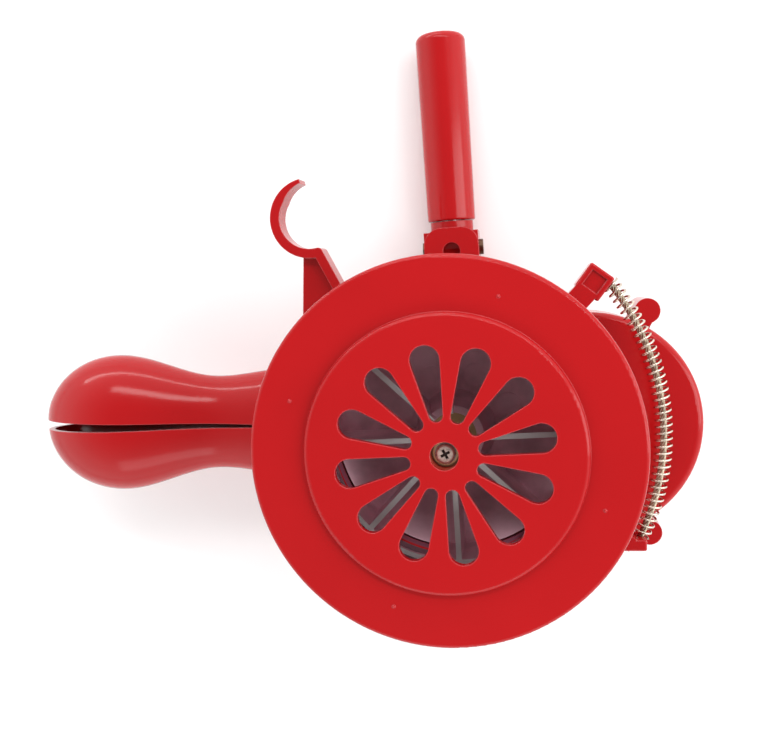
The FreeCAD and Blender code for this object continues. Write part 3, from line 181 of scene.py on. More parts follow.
def add(tree, kind, inputs=None, **settings):
    """A node with its settings and its inputs, which are values or other nodes' sockets."""
    node = tree.nodes.new(kind)
    for key, value in settings.items():
        setattr(node, key, value)
    for key, value in (inputs or {}).items():
        if isinstance(value, bpy.types.NodeSocket):
            tree.links.new(value, node.inputs[key])
        else:
            node.inputs[key].default_value = value
    return node


def noise(tree, vector, scale, detail=3.0, roughness=0.55):
    node = add(tree, "ShaderNodeTexNoise",
               {"Vector": vector, "Scale": scale, "Detail": detail, "Roughness": roughness})
    return node.outputs["Fac"]


def ramp(tree, value, low, high, out_low=0.0, out_high=1.0):
    node = add(tree, "ShaderNodeMapRange", {
        "Value": value, "From Min": low, "From Max": high, "To Min": out_low,
        "To Max": out_high})
    return node.outputs["Result"]


def mix_colour(tree, fac, a, b):
    node = add(tree, "ShaderNodeMix", {0: fac}, data_type="RGBA")
    for index, value in ((6, a), (7, b)):
        if isinstance(value, bpy.types.NodeSocket):
            tree.links.new(value, node.inputs[index])
        else:
            node.inputs[index].default_value = value
    return node.outputs[2]


def surface_group():
    """Tone, gloss and fine relief of a surface: used by every material of the siren."""
    group, entry, leave = shader_group(
        "siren_surface",
        [("Colour", "colour", (0.8, 0.8, 0.8, 1)), ("Dark colour", "colour", (0.5, 0.5, 0.5, 1)),
         ("Roughness", "value", 0.3), ("Roughness spread", "value", 0.08),
         ("Patch scale", "value", 40.0), ("Grain scale", "value", 900.0),
         ("Scratch amount", "value", 0.3)],
        [("Colour", "colour"), ("Roughness", "value"), ("Relief", "value")])
    place = add(group, "ShaderNodeTexCoord").outputs["Object"]
    patch = noise(group, place, entry.outputs["Patch scale"], 4.0)
    grain = noise(group, place, entry.outputs["Grain scale"], 2.0)
    stretched = add(group, "ShaderNodeMapping", {
        "Vector": place, "Rotation": (0.3, 0.2, 0.6), "Scale": (1.0, 14.0, 4.0)})
    hair = noise(group, stretched.outputs["Vector"], 160.0, 2.0)
    scratch = ramp(group, hair, 0.66, 0.72)
    scratched = add(group, "ShaderNodeMath", {
        0: scratch, 1: entry.outputs["Scratch amount"]}, operation="MULTIPLY")
    tone = ramp(group, patch, 0.35, 0.68)
    base = mix_colour(group, tone, entry.outputs["Dark colour"], entry.outputs["Colour"])
    centred = add(group, "ShaderNodeMath", {0: patch, 1: 0.5}, operation="SUBTRACT")
    spread = add(group, "ShaderNodeMath", {
        0: centred.outputs[0], 1: entry.outputs["Roughness spread"]}, operation="MULTIPLY")
    doubled = add(group, "ShaderNodeMath", {0: spread.outputs[0], 1: 2.0}, operation="MULTIPLY")
    rough = add(group, "ShaderNodeMath", {
        0: entry.outputs["Roughness"], 1: doubled.outputs[0]}, operation="ADD")
    wear_and_edge_highlight = add(group, "ShaderNodeMath", {0: scratched.outputs[0], 1: 0.25}, operation="MULTIPLY")
    total = add(group, "ShaderNodeMath", {
        0: rough.outputs[0], 1: wear_and_edge_highlight.outputs[0]}, operation="ADD", use_clamp=True)
    relief = add(group, "ShaderNodeMath", {
        0: grain, 1: scratched.outputs[0]}, operation="SUBTRACT")
    group.links.new(base, leave.inputs["Colour"])
    group.links.new(total.outputs[0], leave.inputs["Roughness"])
    group.links.new(relief.outputs[0], leave.inputs["Relief"])
    return group


def shared(name, maker):
    return bpy.data.node_groups.get(name) or maker()


def finish(name, base, shade, roughness, spread, patch, grain, scratches, relief, edge,
           metallic=0.0, specular=0.5, extra=None, wear_and_edge_highlight=None):
    """A material on the shared surface group.

    shade darkens the patches, extra adds to height and colour; the edges get a painted highlight
    colour.
    """
    material = bpy.data.materials.new(name)
    material.use_nodes = True
    tree = material.node_tree
    shader = tree.nodes["Principled BSDF"]
    surface = add(tree, "ShaderNodeGroup", node_tree=shared("siren_surface", surface_group))
    for key, value in (("Colour", (*base, 1)), ("Dark colour", (*scaled(base, shade), 1)),
                       ("Roughness", roughness), ("Roughness spread", spread),
                       ("Patch scale", patch), ("Grain scale", grain),
                       ("Scratch amount", scratches)):
        surface.inputs[key].default_value = value
    height = surface.outputs["Relief"]
    colour_out = surface.outputs["Colour"]
    if extra is not None:
        height, colour_out = extra(tree, height, colour_out)
    rounded = add(tree, "ShaderNodeBevel", {"Radius": edge}, samples=4)
    # Painted highlight: a pale colour laid along the rounded edges
    if wear_and_edge_highlight is not None:
        face = add(tree, "ShaderNodeNewGeometry").outputs["Normal"]
        level = add(tree, "ShaderNodeVectorMath", {
            0: rounded.outputs["Normal"], 1: face}, operation="DOT_PRODUCT").outputs["Value"]
        edge_mask = ramp(tree, level, 0.99, 0.86, 0.0, 0.75)
        colour_out = mix_colour(tree, edge_mask, colour_out, wear_and_edge_highlight)
    bump = add(tree, "ShaderNodeBump", {
        "Height": height, "Distance": relief, "Strength": 1.0,
        "Normal": rounded.outputs["Normal"]})
    tree.links.new(colour_out, shader.inputs["Base Color"])
    tree.links.new(surface.outputs["Roughness"], shader.inputs["Roughness"])
    tree.links.new(bump.outputs["Normal"], shader.inputs["Normal"])
    shader.inputs["Metallic"].default_value = metallic
    shader.inputs["Specular IOR Level"].default_value = specular
    return material


def scaled(rgb, amount):
    return tuple(channel * amount for channel in rgb)


def turned_rings(tree, height, colour_out):
    """Fine lathe rings about the drum axis, added to the relief."""
    place = add(tree, "ShaderNodeTexCoord").outputs["Object"]
    moved = add(tree, "ShaderNodeMapping", {
        "Vector": place, "Location": (-AXIS_X, -AXIS_Y, 0)})
    rings = add(tree, "ShaderNodeTexWave", {
        "Vector": moved.outputs["Vector"], "Scale": 600.0, "Distortion": 0.6,
        "Detail": 2.0}, wave_type="RINGS", rings_direction="Z")
    shallow = add(tree, "ShaderNodeMath", {
        0: rings.outputs["Fac"], 1: 0.6}, operation="MULTIPLY")
    total = add(tree, "ShaderNodeMath", {
        0: height, 1: shallow.outputs[0]}, operation="ADD")
    return total.outputs[0], colour_out


MOULD_STAIN = (0.30, 0.15, 0.19, 1)
# Near white painted highlight on the rotor's machined front faces
MACHINED_FACE_HIGHLIGHT = (0.95, 0.93, 0.92, 1)


def cast_skin(tree, height, colour_out):
    """Coarser skin of a die casting with soft stains, and machined front faces painted near white
    as a highlight.
    """
    place = add(tree, "ShaderNodeTexCoord").outputs["Object"]
    pits = noise(tree, place, 380.0, 5.0, 0.7)
    stain = noise(tree, place, 55.0, 4.0)
    total = add(tree, "ShaderNodeMath", {0: height, 1: pits}, operation="ADD")
    mask = ramp(tree, stain, 0.5, 0.7, 0.0, 0.4)
    stained = mix_colour(tree, mask, colour_out, MOULD_STAIN)
    height_here = add(tree, "ShaderNodeSeparateXYZ", {"Vector": place}).outputs["Z"]
    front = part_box("rotor")[1][2]
    faced = ramp(tree, height_here, front - 0.5 * MM, front - 0.1 * MM)
    # Painted highlight: the machined front faces are turned near white
    machined_highlight = mix_colour(tree, faced, stained, MACHINED_FACE_HIGHLIGHT)
    return total.outputs[0], machined_highlight


def axis_distance(tree, place):
    """Distance of a place from the drum axis."""
    middle = add(tree, "ShaderNodeVectorMath", {
        0: place, 1: (AXIS_X, AXIS_Y, 0)}, operation="SUBTRACT").outputs["Vector"]
    flat = add(tree, "ShaderNodeVectorMath", {
        0: middle, 1: (1, 1, 0)}, operation="MULTIPLY").outputs["Vector"]
    return add(tree, "ShaderNodeVectorMath", {0: flat}, operation="LENGTH").outputs["Value"]


# Colour of the painted shade on the drum's inner wall, and the radii where it fades out
WALL_SHADE_COLOUR = (0.15, 0.055, 0.085, 1)
SHADE_FULL_R = 46.9 * MM
SHADE_END_R = 47.3 * MM


def painted_wall_shade(tree, height, colour_out):
    """Painted shade: a dark mauve laid on the drum's inner wall."""
    place = add(tree, "ShaderNodeTexCoord").outputs["Object"]
    patch = ramp(tree, noise(tree, place, 90.0, 4.0), 0.3, 0.7, 0.8, 1.0)
    inside = ramp(tree, axis_distance(tree, place), SHADE_FULL_R, SHADE_END_R, 1.0, 0.0)
    mask = add(tree, "ShaderNodeMath", {0: inside, 1: patch}, operation="MULTIPLY")
    return height, mix_colour(tree, mask.outputs[0], colour_out, WALL_SHADE_COLOUR)


# Colour laid inside the centre screw's cross recess, darker than the metal
RECESS_DARK = (0.05, 0.03, 0.025, 1)


def recess_darkening(tree, height, colour_out):
    """Darker colour inside the cross recess of the centre screw."""
    place = add(tree, "ShaderNodeTexCoord").outputs["Object"]
    level = add(tree, "ShaderNodeSeparateXYZ", {"Vector": place}).outputs["Z"]
    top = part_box("centre_screw")[1][2]
    sunk = ramp(tree, level, top - 0.5 * MM, top - 0.15 * MM, 1.0, 0.0)
    within = ramp(tree, axis_distance(tree, place), 1.9 * MM, 2.1 * MM, 1.0, 0.0)
    mask = add(tree, "ShaderNodeMath", {0: sunk, 1: within}, operation="MULTIPLY")
    return height, mix_colour(tree, mask.outputs[0], colour_out, RECESS_DARK)


MATERIALS = {}
# Colour of the painted highlight along the rounded edges of the mouldings
EDGE_HIGHLIGHT = (0.62, 0.09, 0.10, 1)


def finish_rows(made):
    """What each finish of the siren is made of, by name."""
    moulding = {
        "base": made.plastic_red, "shade": 0.93, "roughness": made.plastic_gloss,
        "spread": 0.05, "patch": 22.0, "grain": 700.0, "scratches": 0.10, "relief": 0.000012,
        "edge": 0.0005, "specular": 0.28, "wear_and_edge_highlight": EDGE_HIGHLIGHT}
    return {
        "red_plastic": moulding,
        # The drum's moulding also carries painted shade on its inner wall
        "drum_plastic": {**moulding, "extra": painted_wall_shade},
        "cast_aluminium": {
            "base": made.aluminium, "shade": 0.8, "roughness": 0.36, "spread": 0.12,
            "patch": 60.0, "grain": 500.0, "scratches": 0.5, "relief": 0.00005,
            "edge": 0.0002, "metallic": 0.35, "extra": cast_skin},
        "brass": {
            "base": made.brass, "shade": 0.8, "roughness": 0.24, "spread": 0.1, "patch": 80.0,
            "grain": 1200.0, "scratches": 0.3, "relief": 0.00001, "edge": 0.0002,
            "metallic": 0.6, "extra": turned_rings},
        "sintered_bronze": {
            "base": made.bronze, "shade": 0.6, "roughness": 0.45, "spread": 0.1,
            "patch": 300.0, "grain": 2500.0, "scratches": 0.1, "relief": 0.00003,
            "edge": 0.0001, "metallic": 1.0},
        "acetal": {
            "base": made.acetal, "shade": 0.95, "roughness": 0.4, "spread": 0.06,
            "patch": 30.0, "grain": 900.0, "scratches": 0.05, "relief": 0.00001,
            "edge": 0.0001},
        "bright_steel": {
            "base": made.steel, "shade": 0.8, "roughness": 0.27, "spread": 0.1, "patch": 90.0,
            "grain": 1200.0, "scratches": 0.5, "relief": 0.00001, "edge": 0.00015,
            "metallic": 1.0},
        "spring_steel": {
            "base": made.spring_steel, "shade": 0.72, "roughness": 0.2, "spread": 0.08,
            "patch": 120.0, "grain": 1500.0, "scratches": 0.2, "relief": 0.000004,
            "edge": 0.00005, "metallic": 1.0},
        "cable_steel": {
            "base": made.cable_steel, "shade": 0.6, "roughness": 0.3, "spread": 0.1,
            "patch": 150.0, "grain": 1500.0, "scratches": 0.3, "relief": 0.000005,
            "edge": 0.00005, "metallic": 1.0},
        "nickel_bronze": {
            "base": made.screw_bronze, "shade": 0.62, "roughness": 0.3, "spread": 0.12,
            "patch": 700.0, "grain": 2500.0, "scratches": 0.6, "relief": 0.00001,
            "edge": 0.0001, "metallic": 0.6, "extra": recess_darkening},
        "dark_bronze": {
            "base": made.pin_bronze, "shade": 0.6, "roughness": 0.35, "spread": 0.1,
            "patch": 300.0, "grain": 2000.0, "scratches": 0.4, "relief": 0.00001,
            "edge": 0.0001, "metallic": 1.0},
    }


def material(name):
    """The siren's finishes by name, each made once."""
    if not MATERIALS:
        for row_name, row in finish_rows(bpy.context.scene.siren_finishes).items():
            MATERIALS[row_name] = finish(row_name, **row)
    return MATERIALS[name]


def paint(node_object, finish_material):
    """Gives a CAD node's object its finish, without touching its mesh."""
    for slot in node_object.material_slots:
        slot.link = "OBJECT"
        slot.material = finish_material


# Geometry node trees

class Recipe:
    """A Geometry Nodes tree with named inputs for its sizes."""

    def __init__(self, name, inputs):
        self.tree = bpy.data.node_groups.new(name, "GeometryNodeTree")
        interface = self.tree.interface
        interface.new_socket("Geometry", in_out="OUTPUT", socket_type="NodeSocketGeometry")
        interface.new_socket("Geometry", in_out="INPUT", socket_type="NodeSocketGeometry")
        self.identifiers = {}
        for input_name, kind in inputs:
            socket = interface.new_socket(input_name, in_out="INPUT", socket_type=kind)
            self.identifiers[input_name] = socket.identifier
        self.entry = self.tree.nodes.new("NodeGroupInput")
        self.leave = self.tree.nodes.new("NodeGroupOutput")

    def __getitem__(self, name):
        return self.entry.outputs[name]

    def add(self, kind, inputs=None, **settings):
        return add(self.tree, kind, inputs, **settings)

    def maths(self, operation, *values):
        node = self.tree.nodes.new("ShaderNodeMath")
        node.operation = operation
        for index, value in enumerate(values):
            if isinstance(value, bpy.types.NodeSocket):
                self.tree.links.new(value, node.inputs[index])
            else:
                node.inputs[index].default_value = value
        return node.outputs[0]

    def ends(self, geometry, finish_input="Finish", smooth=True):
        shaded = self.add("GeometryNodeSetShadeSmooth", {"Geometry": geometry})
        shaded.inputs["Shade Smooth"].default_value = smooth
        real = self.add("GeometryNodeRealizeInstances", {
            "Geometry": shaded.outputs["Geometry"]})
        painted = self.add("GeometryNodeSetMaterial", {
            "Geometry": real.outputs["Geometry"], "Material": self[finish_input]})
        self.tree.links.new(painted.outputs["Geometry"], self.leave.inputs["Geometry"])


def grow(name, recipe, values, source_mesh=None):
    """Runs a recipe on a mesh and keeps the result as a plain mesh at the origin."""
    start = bpy.data.objects.new(name + "_seed", source_mesh or bpy.data.meshes.new(name))
    bpy.context.scene.collection.objects.link(start)
    modifier = start.modifiers.new("recipe", "NODES")
    modifier.node_group = recipe.tree
    for input_name, value in values.items():
        modifier[recipe.identifiers[input_name]] = value
    graph = bpy.context.evaluated_depsgraph_get()
    mesh = bpy.data.meshes.new_from_object(start.evaluated_get(graph))
    bpy.data.objects.remove(start)
    mesh.name = name
    piece = bpy.data.objects.new(name, mesh)
    bpy.context.scene.collection.objects.link(piece)
    return piece


ARC_INPUTS = [
    ("Arc radius", "NodeSocketFloat"), ("Arc centre", "NodeSocketVector"),
    ("Start", "NodeSocketFloat"), ("Stop", "NodeSocketFloat"),
    ("Finish", "NodeSocketMaterial"),
]


def arc_angle(recipe):
    """The angle of a curve's point along the strap's arc, from its factor."""
    share = recipe.add("GeometryNodeSplineParameter").outputs["Factor"]
    span = recipe.maths("SUBTRACT", recipe["Stop"], recipe["Start"])
    gone = recipe.maths("MULTIPLY", share, span)
    return share, recipe.maths("ADD", recipe["Start"], gone)


def bend_on_arc(recipe, curve, radius, turn, rise):
    """Moves a curve's points to radius and turn about the arc's centre."""
    x = recipe.maths("MULTIPLY", radius, recipe.maths("COSINE", turn))
    y = recipe.maths("MULTIPLY", radius, recipe.maths("SINE", turn))
    flat = recipe.add("ShaderNodeCombineXYZ", {"X": x, "Y": y, "Z": rise})
    placed = recipe.add("ShaderNodeVectorMath", {
        0: flat.outputs["Vector"], 1: recipe["Arc centre"]}, operation="ADD")
    moved = recipe.add("GeometryNodeSetPosition", {
        "Geometry": curve, "Position": placed.outputs["Vector"]})
    return moved.outputs["Geometry"]


def straight_points(recipe, count):
    line = recipe.add("GeometryNodeCurvePrimitiveLine")
    dense = recipe.add("GeometryNodeResampleCurve", {"Curve": line.outputs["Curve"]})
    dense.inputs["Count"].default_value = count
    return dense.outputs["Curve"]


TURN_POINTS = 26
WIRE_SIDES = 10
CABLE_POINTS = 260
CABLE_SIDES = 56
STRAND_DEPTH = 0.22


def coil_recipe():
    """A coil spring bent along an arc."""
    recipe = Recipe("strap_coil", ARC_INPUTS + [
        ("Turns", "NodeSocketFloat"), ("Coil radius", "NodeSocketFloat"),
        ("Wire radius", "NodeSocketFloat")])
    curve = straight_points(recipe, int(bpy.context.scene.siren_strap.turns * TURN_POINTS))
    share, turn = arc_angle(recipe)
    phase = recipe.maths("MULTIPLY", recipe.maths("MULTIPLY", share, recipe["Turns"]), TAU)
    out = recipe.maths("MULTIPLY", recipe["Coil radius"], recipe.maths("COSINE", phase))
    rise = recipe.maths("MULTIPLY", recipe["Coil radius"], recipe.maths("SINE", phase))
    radius = recipe.maths("ADD", recipe["Arc radius"], out)
    bent = bend_on_arc(recipe, curve, radius, turn, rise)
    profile = recipe.add("GeometryNodeCurvePrimitiveCircle", {"Radius": recipe["Wire radius"]})
    profile.inputs["Resolution"].default_value = WIRE_SIDES
    tube = recipe.add("GeometryNodeCurveToMesh", {
        "Curve": bent, "Profile Curve": profile.outputs["Curve"], "Fill Caps": True})
    recipe.ends(tube.outputs["Mesh"])
    return recipe


def cable_recipe():
    """A cable of round strands laid round its centre line, bent along an arc."""
    recipe = Recipe("strap_rope", ARC_INPUTS + [
        ("Cable radius", "NodeSocketFloat"), ("Strands", "NodeSocketInt"),
        ("Lay", "NodeSocketFloat")])
    curve = straight_points(recipe, CABLE_POINTS)
    share, turn = arc_angle(recipe)
    bent = bend_on_arc(recipe, curve, recipe["Arc radius"], turn, 0.0)
    twist = recipe.maths("MULTIPLY", recipe.maths("MULTIPLY", share, recipe["Lay"]), TAU)
    tilted = recipe.add("GeometryNodeSetCurveTilt", {"Curve": bent, "Tilt": twist})
    star = recipe.add("GeometryNodeCurvePrimitiveCircle")
    star.inputs["Resolution"].default_value = CABLE_SIDES
    star.inputs["Radius"].default_value = 1.0
    around = recipe.maths("MULTIPLY", recipe.add("GeometryNodeSplineParameter")
                          .outputs["Factor"], TAU)
    lobes = recipe.maths("MULTIPLY", around, recipe["Strands"])
    lobe = recipe.maths("ABSOLUTE", recipe.maths("SINE", recipe.maths(
        "MULTIPLY", lobes, 0.5)))
    reach = recipe.maths("MULTIPLY_ADD", lobe, STRAND_DEPTH, 1 - STRAND_DEPTH)
    size = recipe.maths("MULTIPLY", reach, recipe["Cable radius"])
    scaled_star = recipe.add("ShaderNodeVectorMath", {
        0: recipe.add("GeometryNodeInputPosition").outputs["Position"]}, operation="SCALE")
    recipe.tree.links.new(size, scaled_star.inputs["Scale"])
    shaped = recipe.add("GeometryNodeSetPosition", {
        "Geometry": star.outputs["Curve"], "Position": scaled_star.outputs["Vector"]})
    tube = recipe.add("GeometryNodeCurveToMesh", {
        "Curve": tilted.outputs["Curve"], "Profile Curve": shaped.outputs["Geometry"],
        "Fill Caps": True})
    recipe.ends(tube.outputs["Mesh"])
    return recipe


def screw_recipe():
    """One screw set on each vertex of a mesh."""
    recipe = Recipe("screw_set", [
        ("Screw", "NodeSocketObject"), ("Finish", "NodeSocketMaterial")])
    spots = recipe.add("GeometryNodeMeshToPoints", {"Mesh": recipe["Geometry"]})
    screw = recipe.add("GeometryNodeObjectInfo", {"Object": recipe["Screw"]})
    placed = recipe.add("GeometryNodeInstanceOnPoints", {
        "Points": spots.outputs["Points"], "Instance": screw.outputs["Geometry"]})
    recipe.ends(placed.outputs["Instances"], smooth=False)
    return recipe


# Screws

def lathe(bm, profile, segments):
    """Closed solid of revolution about Z from (radius, height) pairs that start and end on Z."""
    rings = []
    for radius, z in profile:
        if radius == 0:
            rings.append([bm.verts.new((0, 0, z))])
        else:
            rings.append([bm.verts.new((radius * math.cos(TAU * k / segments),
                                        radius * math.sin(TAU * k / segments), z))
                          for k in range(segments)])
    for low, high in zip(rings, rings[1:]):
        for k in range(segments):
            corners = [low[k % len(low)], low[(k + 1) % len(low)],
                       high[(k + 1) % len(high)], high[k % len(high)]]
            bm.faces.new(dict.fromkeys(corners))
    bmesh.ops.recalc_face_normals(bm, faces=bm.faces)


def mesh_object(name, bm):
    mesh = bpy.data.meshes.new(name)
    bm.to_mesh(mesh)
    bm.free()
    made = bpy.data.objects.new(name, mesh)
    bpy.context.scene.collection.objects.link(made)
    return made


# Shares of the head's radius and height, from its rim to its crown
PAN_HEAD = ((0.94, 0.0), (1.0, 0.12), (1.0, 0.45), (0.93, 0.72), (0.78, 0.9), (0.5, 0.98),
            (0.0, 1.0))
THREAD_PITCH = 0.8 * MM
THREAD_ROOT = 0.8
RECESS_REACH = 0.6
RECESS_END_REACH = 0.3
RECESS_END_WIDTH = 0.8
CUT_ABOVE = 0.3 * MM
RECESS_TURN = math.radians(28)


def cross_cutter(radius, width, depth, top):
    """A cross that narrows downwards, as one closed solid."""
    bm = bmesh.new()
    half = width / 2
    rims = []
    for z, reach, side in (
            (top + CUT_ABOVE, radius * RECESS_REACH, half),
            (top - depth, radius * RECESS_END_REACH, half * RECESS_END_WIDTH)):
        quarter = [Vector((reach, -side)), Vector((reach, side)), Vector((side, side))]
        rim = []
        for k in range(4):
            spin = Matrix.Rotation(k * math.pi / 2, 2)
            rim += [bm.verts.new((*(spin @ corner), z)) for corner in quarter]
        rims.append(rim)
    upper, lower = rims
    bm.faces.new(upper)
    bm.faces.new(reversed(lower))
    for k in range(12):
        after = (k + 1) % 12
        bm.faces.new((upper[k], lower[k], lower[after], upper[after]))
    bmesh.ops.recalc_face_normals(bm, faces=bm.faces)
    return mesh_object("cross_cutter", bm)


def cross_screw(name, head_radius, head_height, shank_radius, shank_length):
    """Pan head screw with a cross recess. Its head's underside is at z = 0, head up."""
    made = bpy.context.scene.siren_screws
    bm = bmesh.new()
    thread = []
    for k in range(int(shank_length * 0.8 / THREAD_PITCH)):
        z = -shank_length + 0.15 * shank_length + k * THREAD_PITCH
        thread += [(shank_radius * THREAD_ROOT, z), (shank_radius, z + THREAD_PITCH / 2)]
    profile = [(0, -shank_length), (shank_radius * 0.55, -shank_length * 0.97)] + thread
    profile += [(shank_radius, -0.02 * shank_length), (shank_radius, 0.0)]
    profile += [(head_radius * out, head_height * up) for out, up in PAN_HEAD]
    lathe(bm, profile, 36)
    screw = mesh_object(name, bm)
    cutter = cross_cutter(head_radius, made.recess_width, made.recess_depth, head_height)
    modifier = screw.modifiers.new("recess", "BOOLEAN")
    modifier.operation = "DIFFERENCE"
    modifier.solver = "EXACT"
    modifier.object = cutter
    graph = bpy.context.evaluated_depsgraph_get()
    cut = bpy.data.meshes.new_from_object(screw.evaluated_get(graph))
    screw.modifiers.clear()
    screw.data = cut
    bpy.data.objects.remove(cutter)
    return screw


def islands(node_name):
    """Centre and height range of each separate solid of a CAD node."""
    bm = bmesh.new()
    bm.from_mesh(NODES[node_name].data)
    bmesh.ops.remove_doubles(bm, verts=bm.verts, dist=1e-6)
    bm.verts.ensure_lookup_table()
    seen = set()
    found = []
    for vert in bm.verts:
        if vert.index in seen:
            continue
        stack = [vert]
        seen.add(vert.index)
        points = []
        while stack:
            here = stack.pop()
            points.append(here.co.copy())
            for edge in here.link_edges:
                other = edge.other_vert(here)
                if other.index not in seen:
                    seen.add(other.index)
                    stack.append(other)
        low = Vector([min(p[i] for p in points) for i in range(3)])
        high = Vector([max(p[i] for p in points) for i in range(3)])
        found.append((low, high))
    bm.free()
    return sorted(found, key=lambda pair: (round(pair[0].x, 4), round(pair[0].y, 4)))


def register_piece(piece, body, slot, *replaced):
    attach(piece, body)
    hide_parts(*replaced)


# Operators

RED_NODES = (
    "front_cover", "gear_case", "gear_cover", "hanging_hook", "strap_anchor_upper",
    "strap_anchor_lower", "leg_upper", "leg_lower", "crank_arm", "grip_neck", "grip_sleeve")
METAL_NODES = {
    "cast_aluminium": ("rotor",),
    "brass": ("rotor_bush", "shaft_washer"),
    "sintered_bronze": ("front_bush", "rear_bush", "idler_front_bush", "idler_rear_bush",
                        "crank_bush"),
    "acetal": ("rotor_pinion", "idler_gear", "idler_pinion", "crank_gear"),
    "bright_steel": ("rotor_shaft", "idler_shaft", "crank_shaft", "grip_spindle",
                     "spindle_clip", "spring_washer", "crank_washer", "crank_nut",
                     "leg_pin_upper", "leg_pin_lower"),
    "dark_bronze": ("fold_pin",),
}


class SIREN_OT_plastic(bpy.types.Operator):
    """Give the moulded parts their red finish."""
    bl_idname = "siren.plastic"
    bl_label = "Red mouldings"

    def execute(self, context):
        for name in RED_NODES:
            paint(NODES[name], material("red_plastic"))
        paint(NODES["drum"], material("drum_plastic"))
        return {"FINISHED"}


class SIREN_OT_metal(bpy.types.Operator):
    """Give rotor, shafts, bushes, gears and pins their finishes."""
    bl_idname = "siren.metal"
    bl_label = "Rotor, shafts and gears"

    def execute(self, context):
        for finish_name, names in METAL_NODES.items():
            for name in names:
                paint(NODES[name], material(finish_name))
        return {"FINISHED"}


class SIREN_OT_strap_spring(bpy.types.Operator):
    """Wind the coil spring over the strap's cable."""
    bl_idname = "siren.strap_spring"
    bl_label = "Strap spring"

    def execute(self, context):
        strap = context.scene.siren_strap
        centre = (AXIS_X + strap.arc_x, AXIS_Y + strap.arc_y, FACE_Z - strap.level)
        piece = grow("strap_spring_coil", coil_recipe(), {
            "Arc radius": strap.arc_radius, "Arc centre": centre, "Start": strap.start,
            "Stop": strap.stop, "Turns": strap.turns, "Coil radius": strap.coil_radius,
            "Wire radius": strap.wire_radius, "Finish": material("spring_steel")})
        register_piece(piece, "housing", "spring_steel", "strap_spring")
        return {"FINISHED"}


class SIREN_OT_strap_cable(bpy.types.Operator):
    """Lay the stranded cable inside the spring."""
    bl_idname = "siren.strap_cable"
    bl_label = "Strap cable"

    def execute(self, context):
        strap = context.scene.siren_strap
        inside = math.radians(2.0)
        centre = (AXIS_X + strap.arc_x, AXIS_Y + strap.arc_y, FACE_Z - strap.level)
        piece = grow("strap_cable_strands", cable_recipe(), {
            "Arc radius": strap.arc_radius, "Arc centre": centre,
            "Start": strap.start + inside, "Stop": strap.stop - inside / 2,
            "Cable radius": strap.cable_radius, "Strands": strap.strands, "Lay": strap.lay,
            "Finish": material("cable_steel")})
        register_piece(piece, "housing", "cable_steel", "strap_cable")
        return {"FINISHED"}


class SIREN_OT_screws(bpy.types.Operator):
    """Set the cover, drum and case screws."""
    bl_idname = "siren.screws"
    bl_label = "Case screws"

    def execute(self, context):
        made = context.scene.siren_screws
        recipe = screw_recipe()
        for node_name in ("cover_screws", "drum_screws", "case_screws"):
            found = islands(node_name)
            length_here = (found[0][1].z - found[0][0].z) - made.head_height
            screw = cross_screw(node_name + "_one", made.head_radius, made.head_height,
                                made.shank_radius, length_here)
            screw.data.transform(Matrix.Rotation(math.pi, 4, "X"))
            bm = bmesh.new()
            for low, high in found:
                bm.verts.new(((low.x + high.x) / 2, (low.y + high.y) / 2,
                              low.z + made.head_height))
            seeds = bpy.data.meshes.new(node_name + "_spots")
            bm.to_mesh(seeds)
            bm.free()
            piece = grow(node_name + "_set", recipe, {
                "Screw": screw, "Finish": material("bright_steel")}, seeds)
            bpy.data.objects.remove(screw)
            register_piece(piece, "housing", "bright_steel", node_name)
        return {"FINISHED"}


class SIREN_OT_centre_screw(bpy.types.Operator):
    """Make the screw that holds the rotor on its shaft."""
    bl_idname = "siren.centre_screw"
    bl_label = "Centre screw"

    def execute(self, context):
        made = context.scene.siren_screws
        low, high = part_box("centre_screw")
        seat = high[2] - made.centre_head_height
        screw = cross_screw("centre_screw_pan", made.centre_head_radius,
                            made.centre_head_height, made.centre_shank_radius,
                            seat - low[2])
        turn = Matrix.Rotation(RECESS_TURN, 4, "Z")
        place = Matrix.Translation((AXIS_X, AXIS_Y, seat))
        screw.data.transform(place @ turn)
        screw.data.materials.clear()
        screw.data.materials.append(material("nickel_bronze"))
        register_piece(screw, "rotor", "nickel_bronze", "centre_screw")
        return {"FINISHED"}


def area_light(name, place, target, size, power):
    data = bpy.data.lights.new(name, "AREA")
    data.shape = "RECTANGLE"
    data.size, data.size_y = size
    data.energy = power
    light = bpy.data.objects.new(name, data)
    light.location = place
    way = Vector(target) - Vector(place)
    light.rotation_euler = way.to_track_quat("-Z", "Y").to_euler()
    bpy.context.scene.collection.objects.link(light)
    return light


FLOOR_HALF = 3.0
# Heights of a unit way between which the surroundings darken towards the top
DARKENS_FROM = 0.45
DARKENS_TO = 0.95


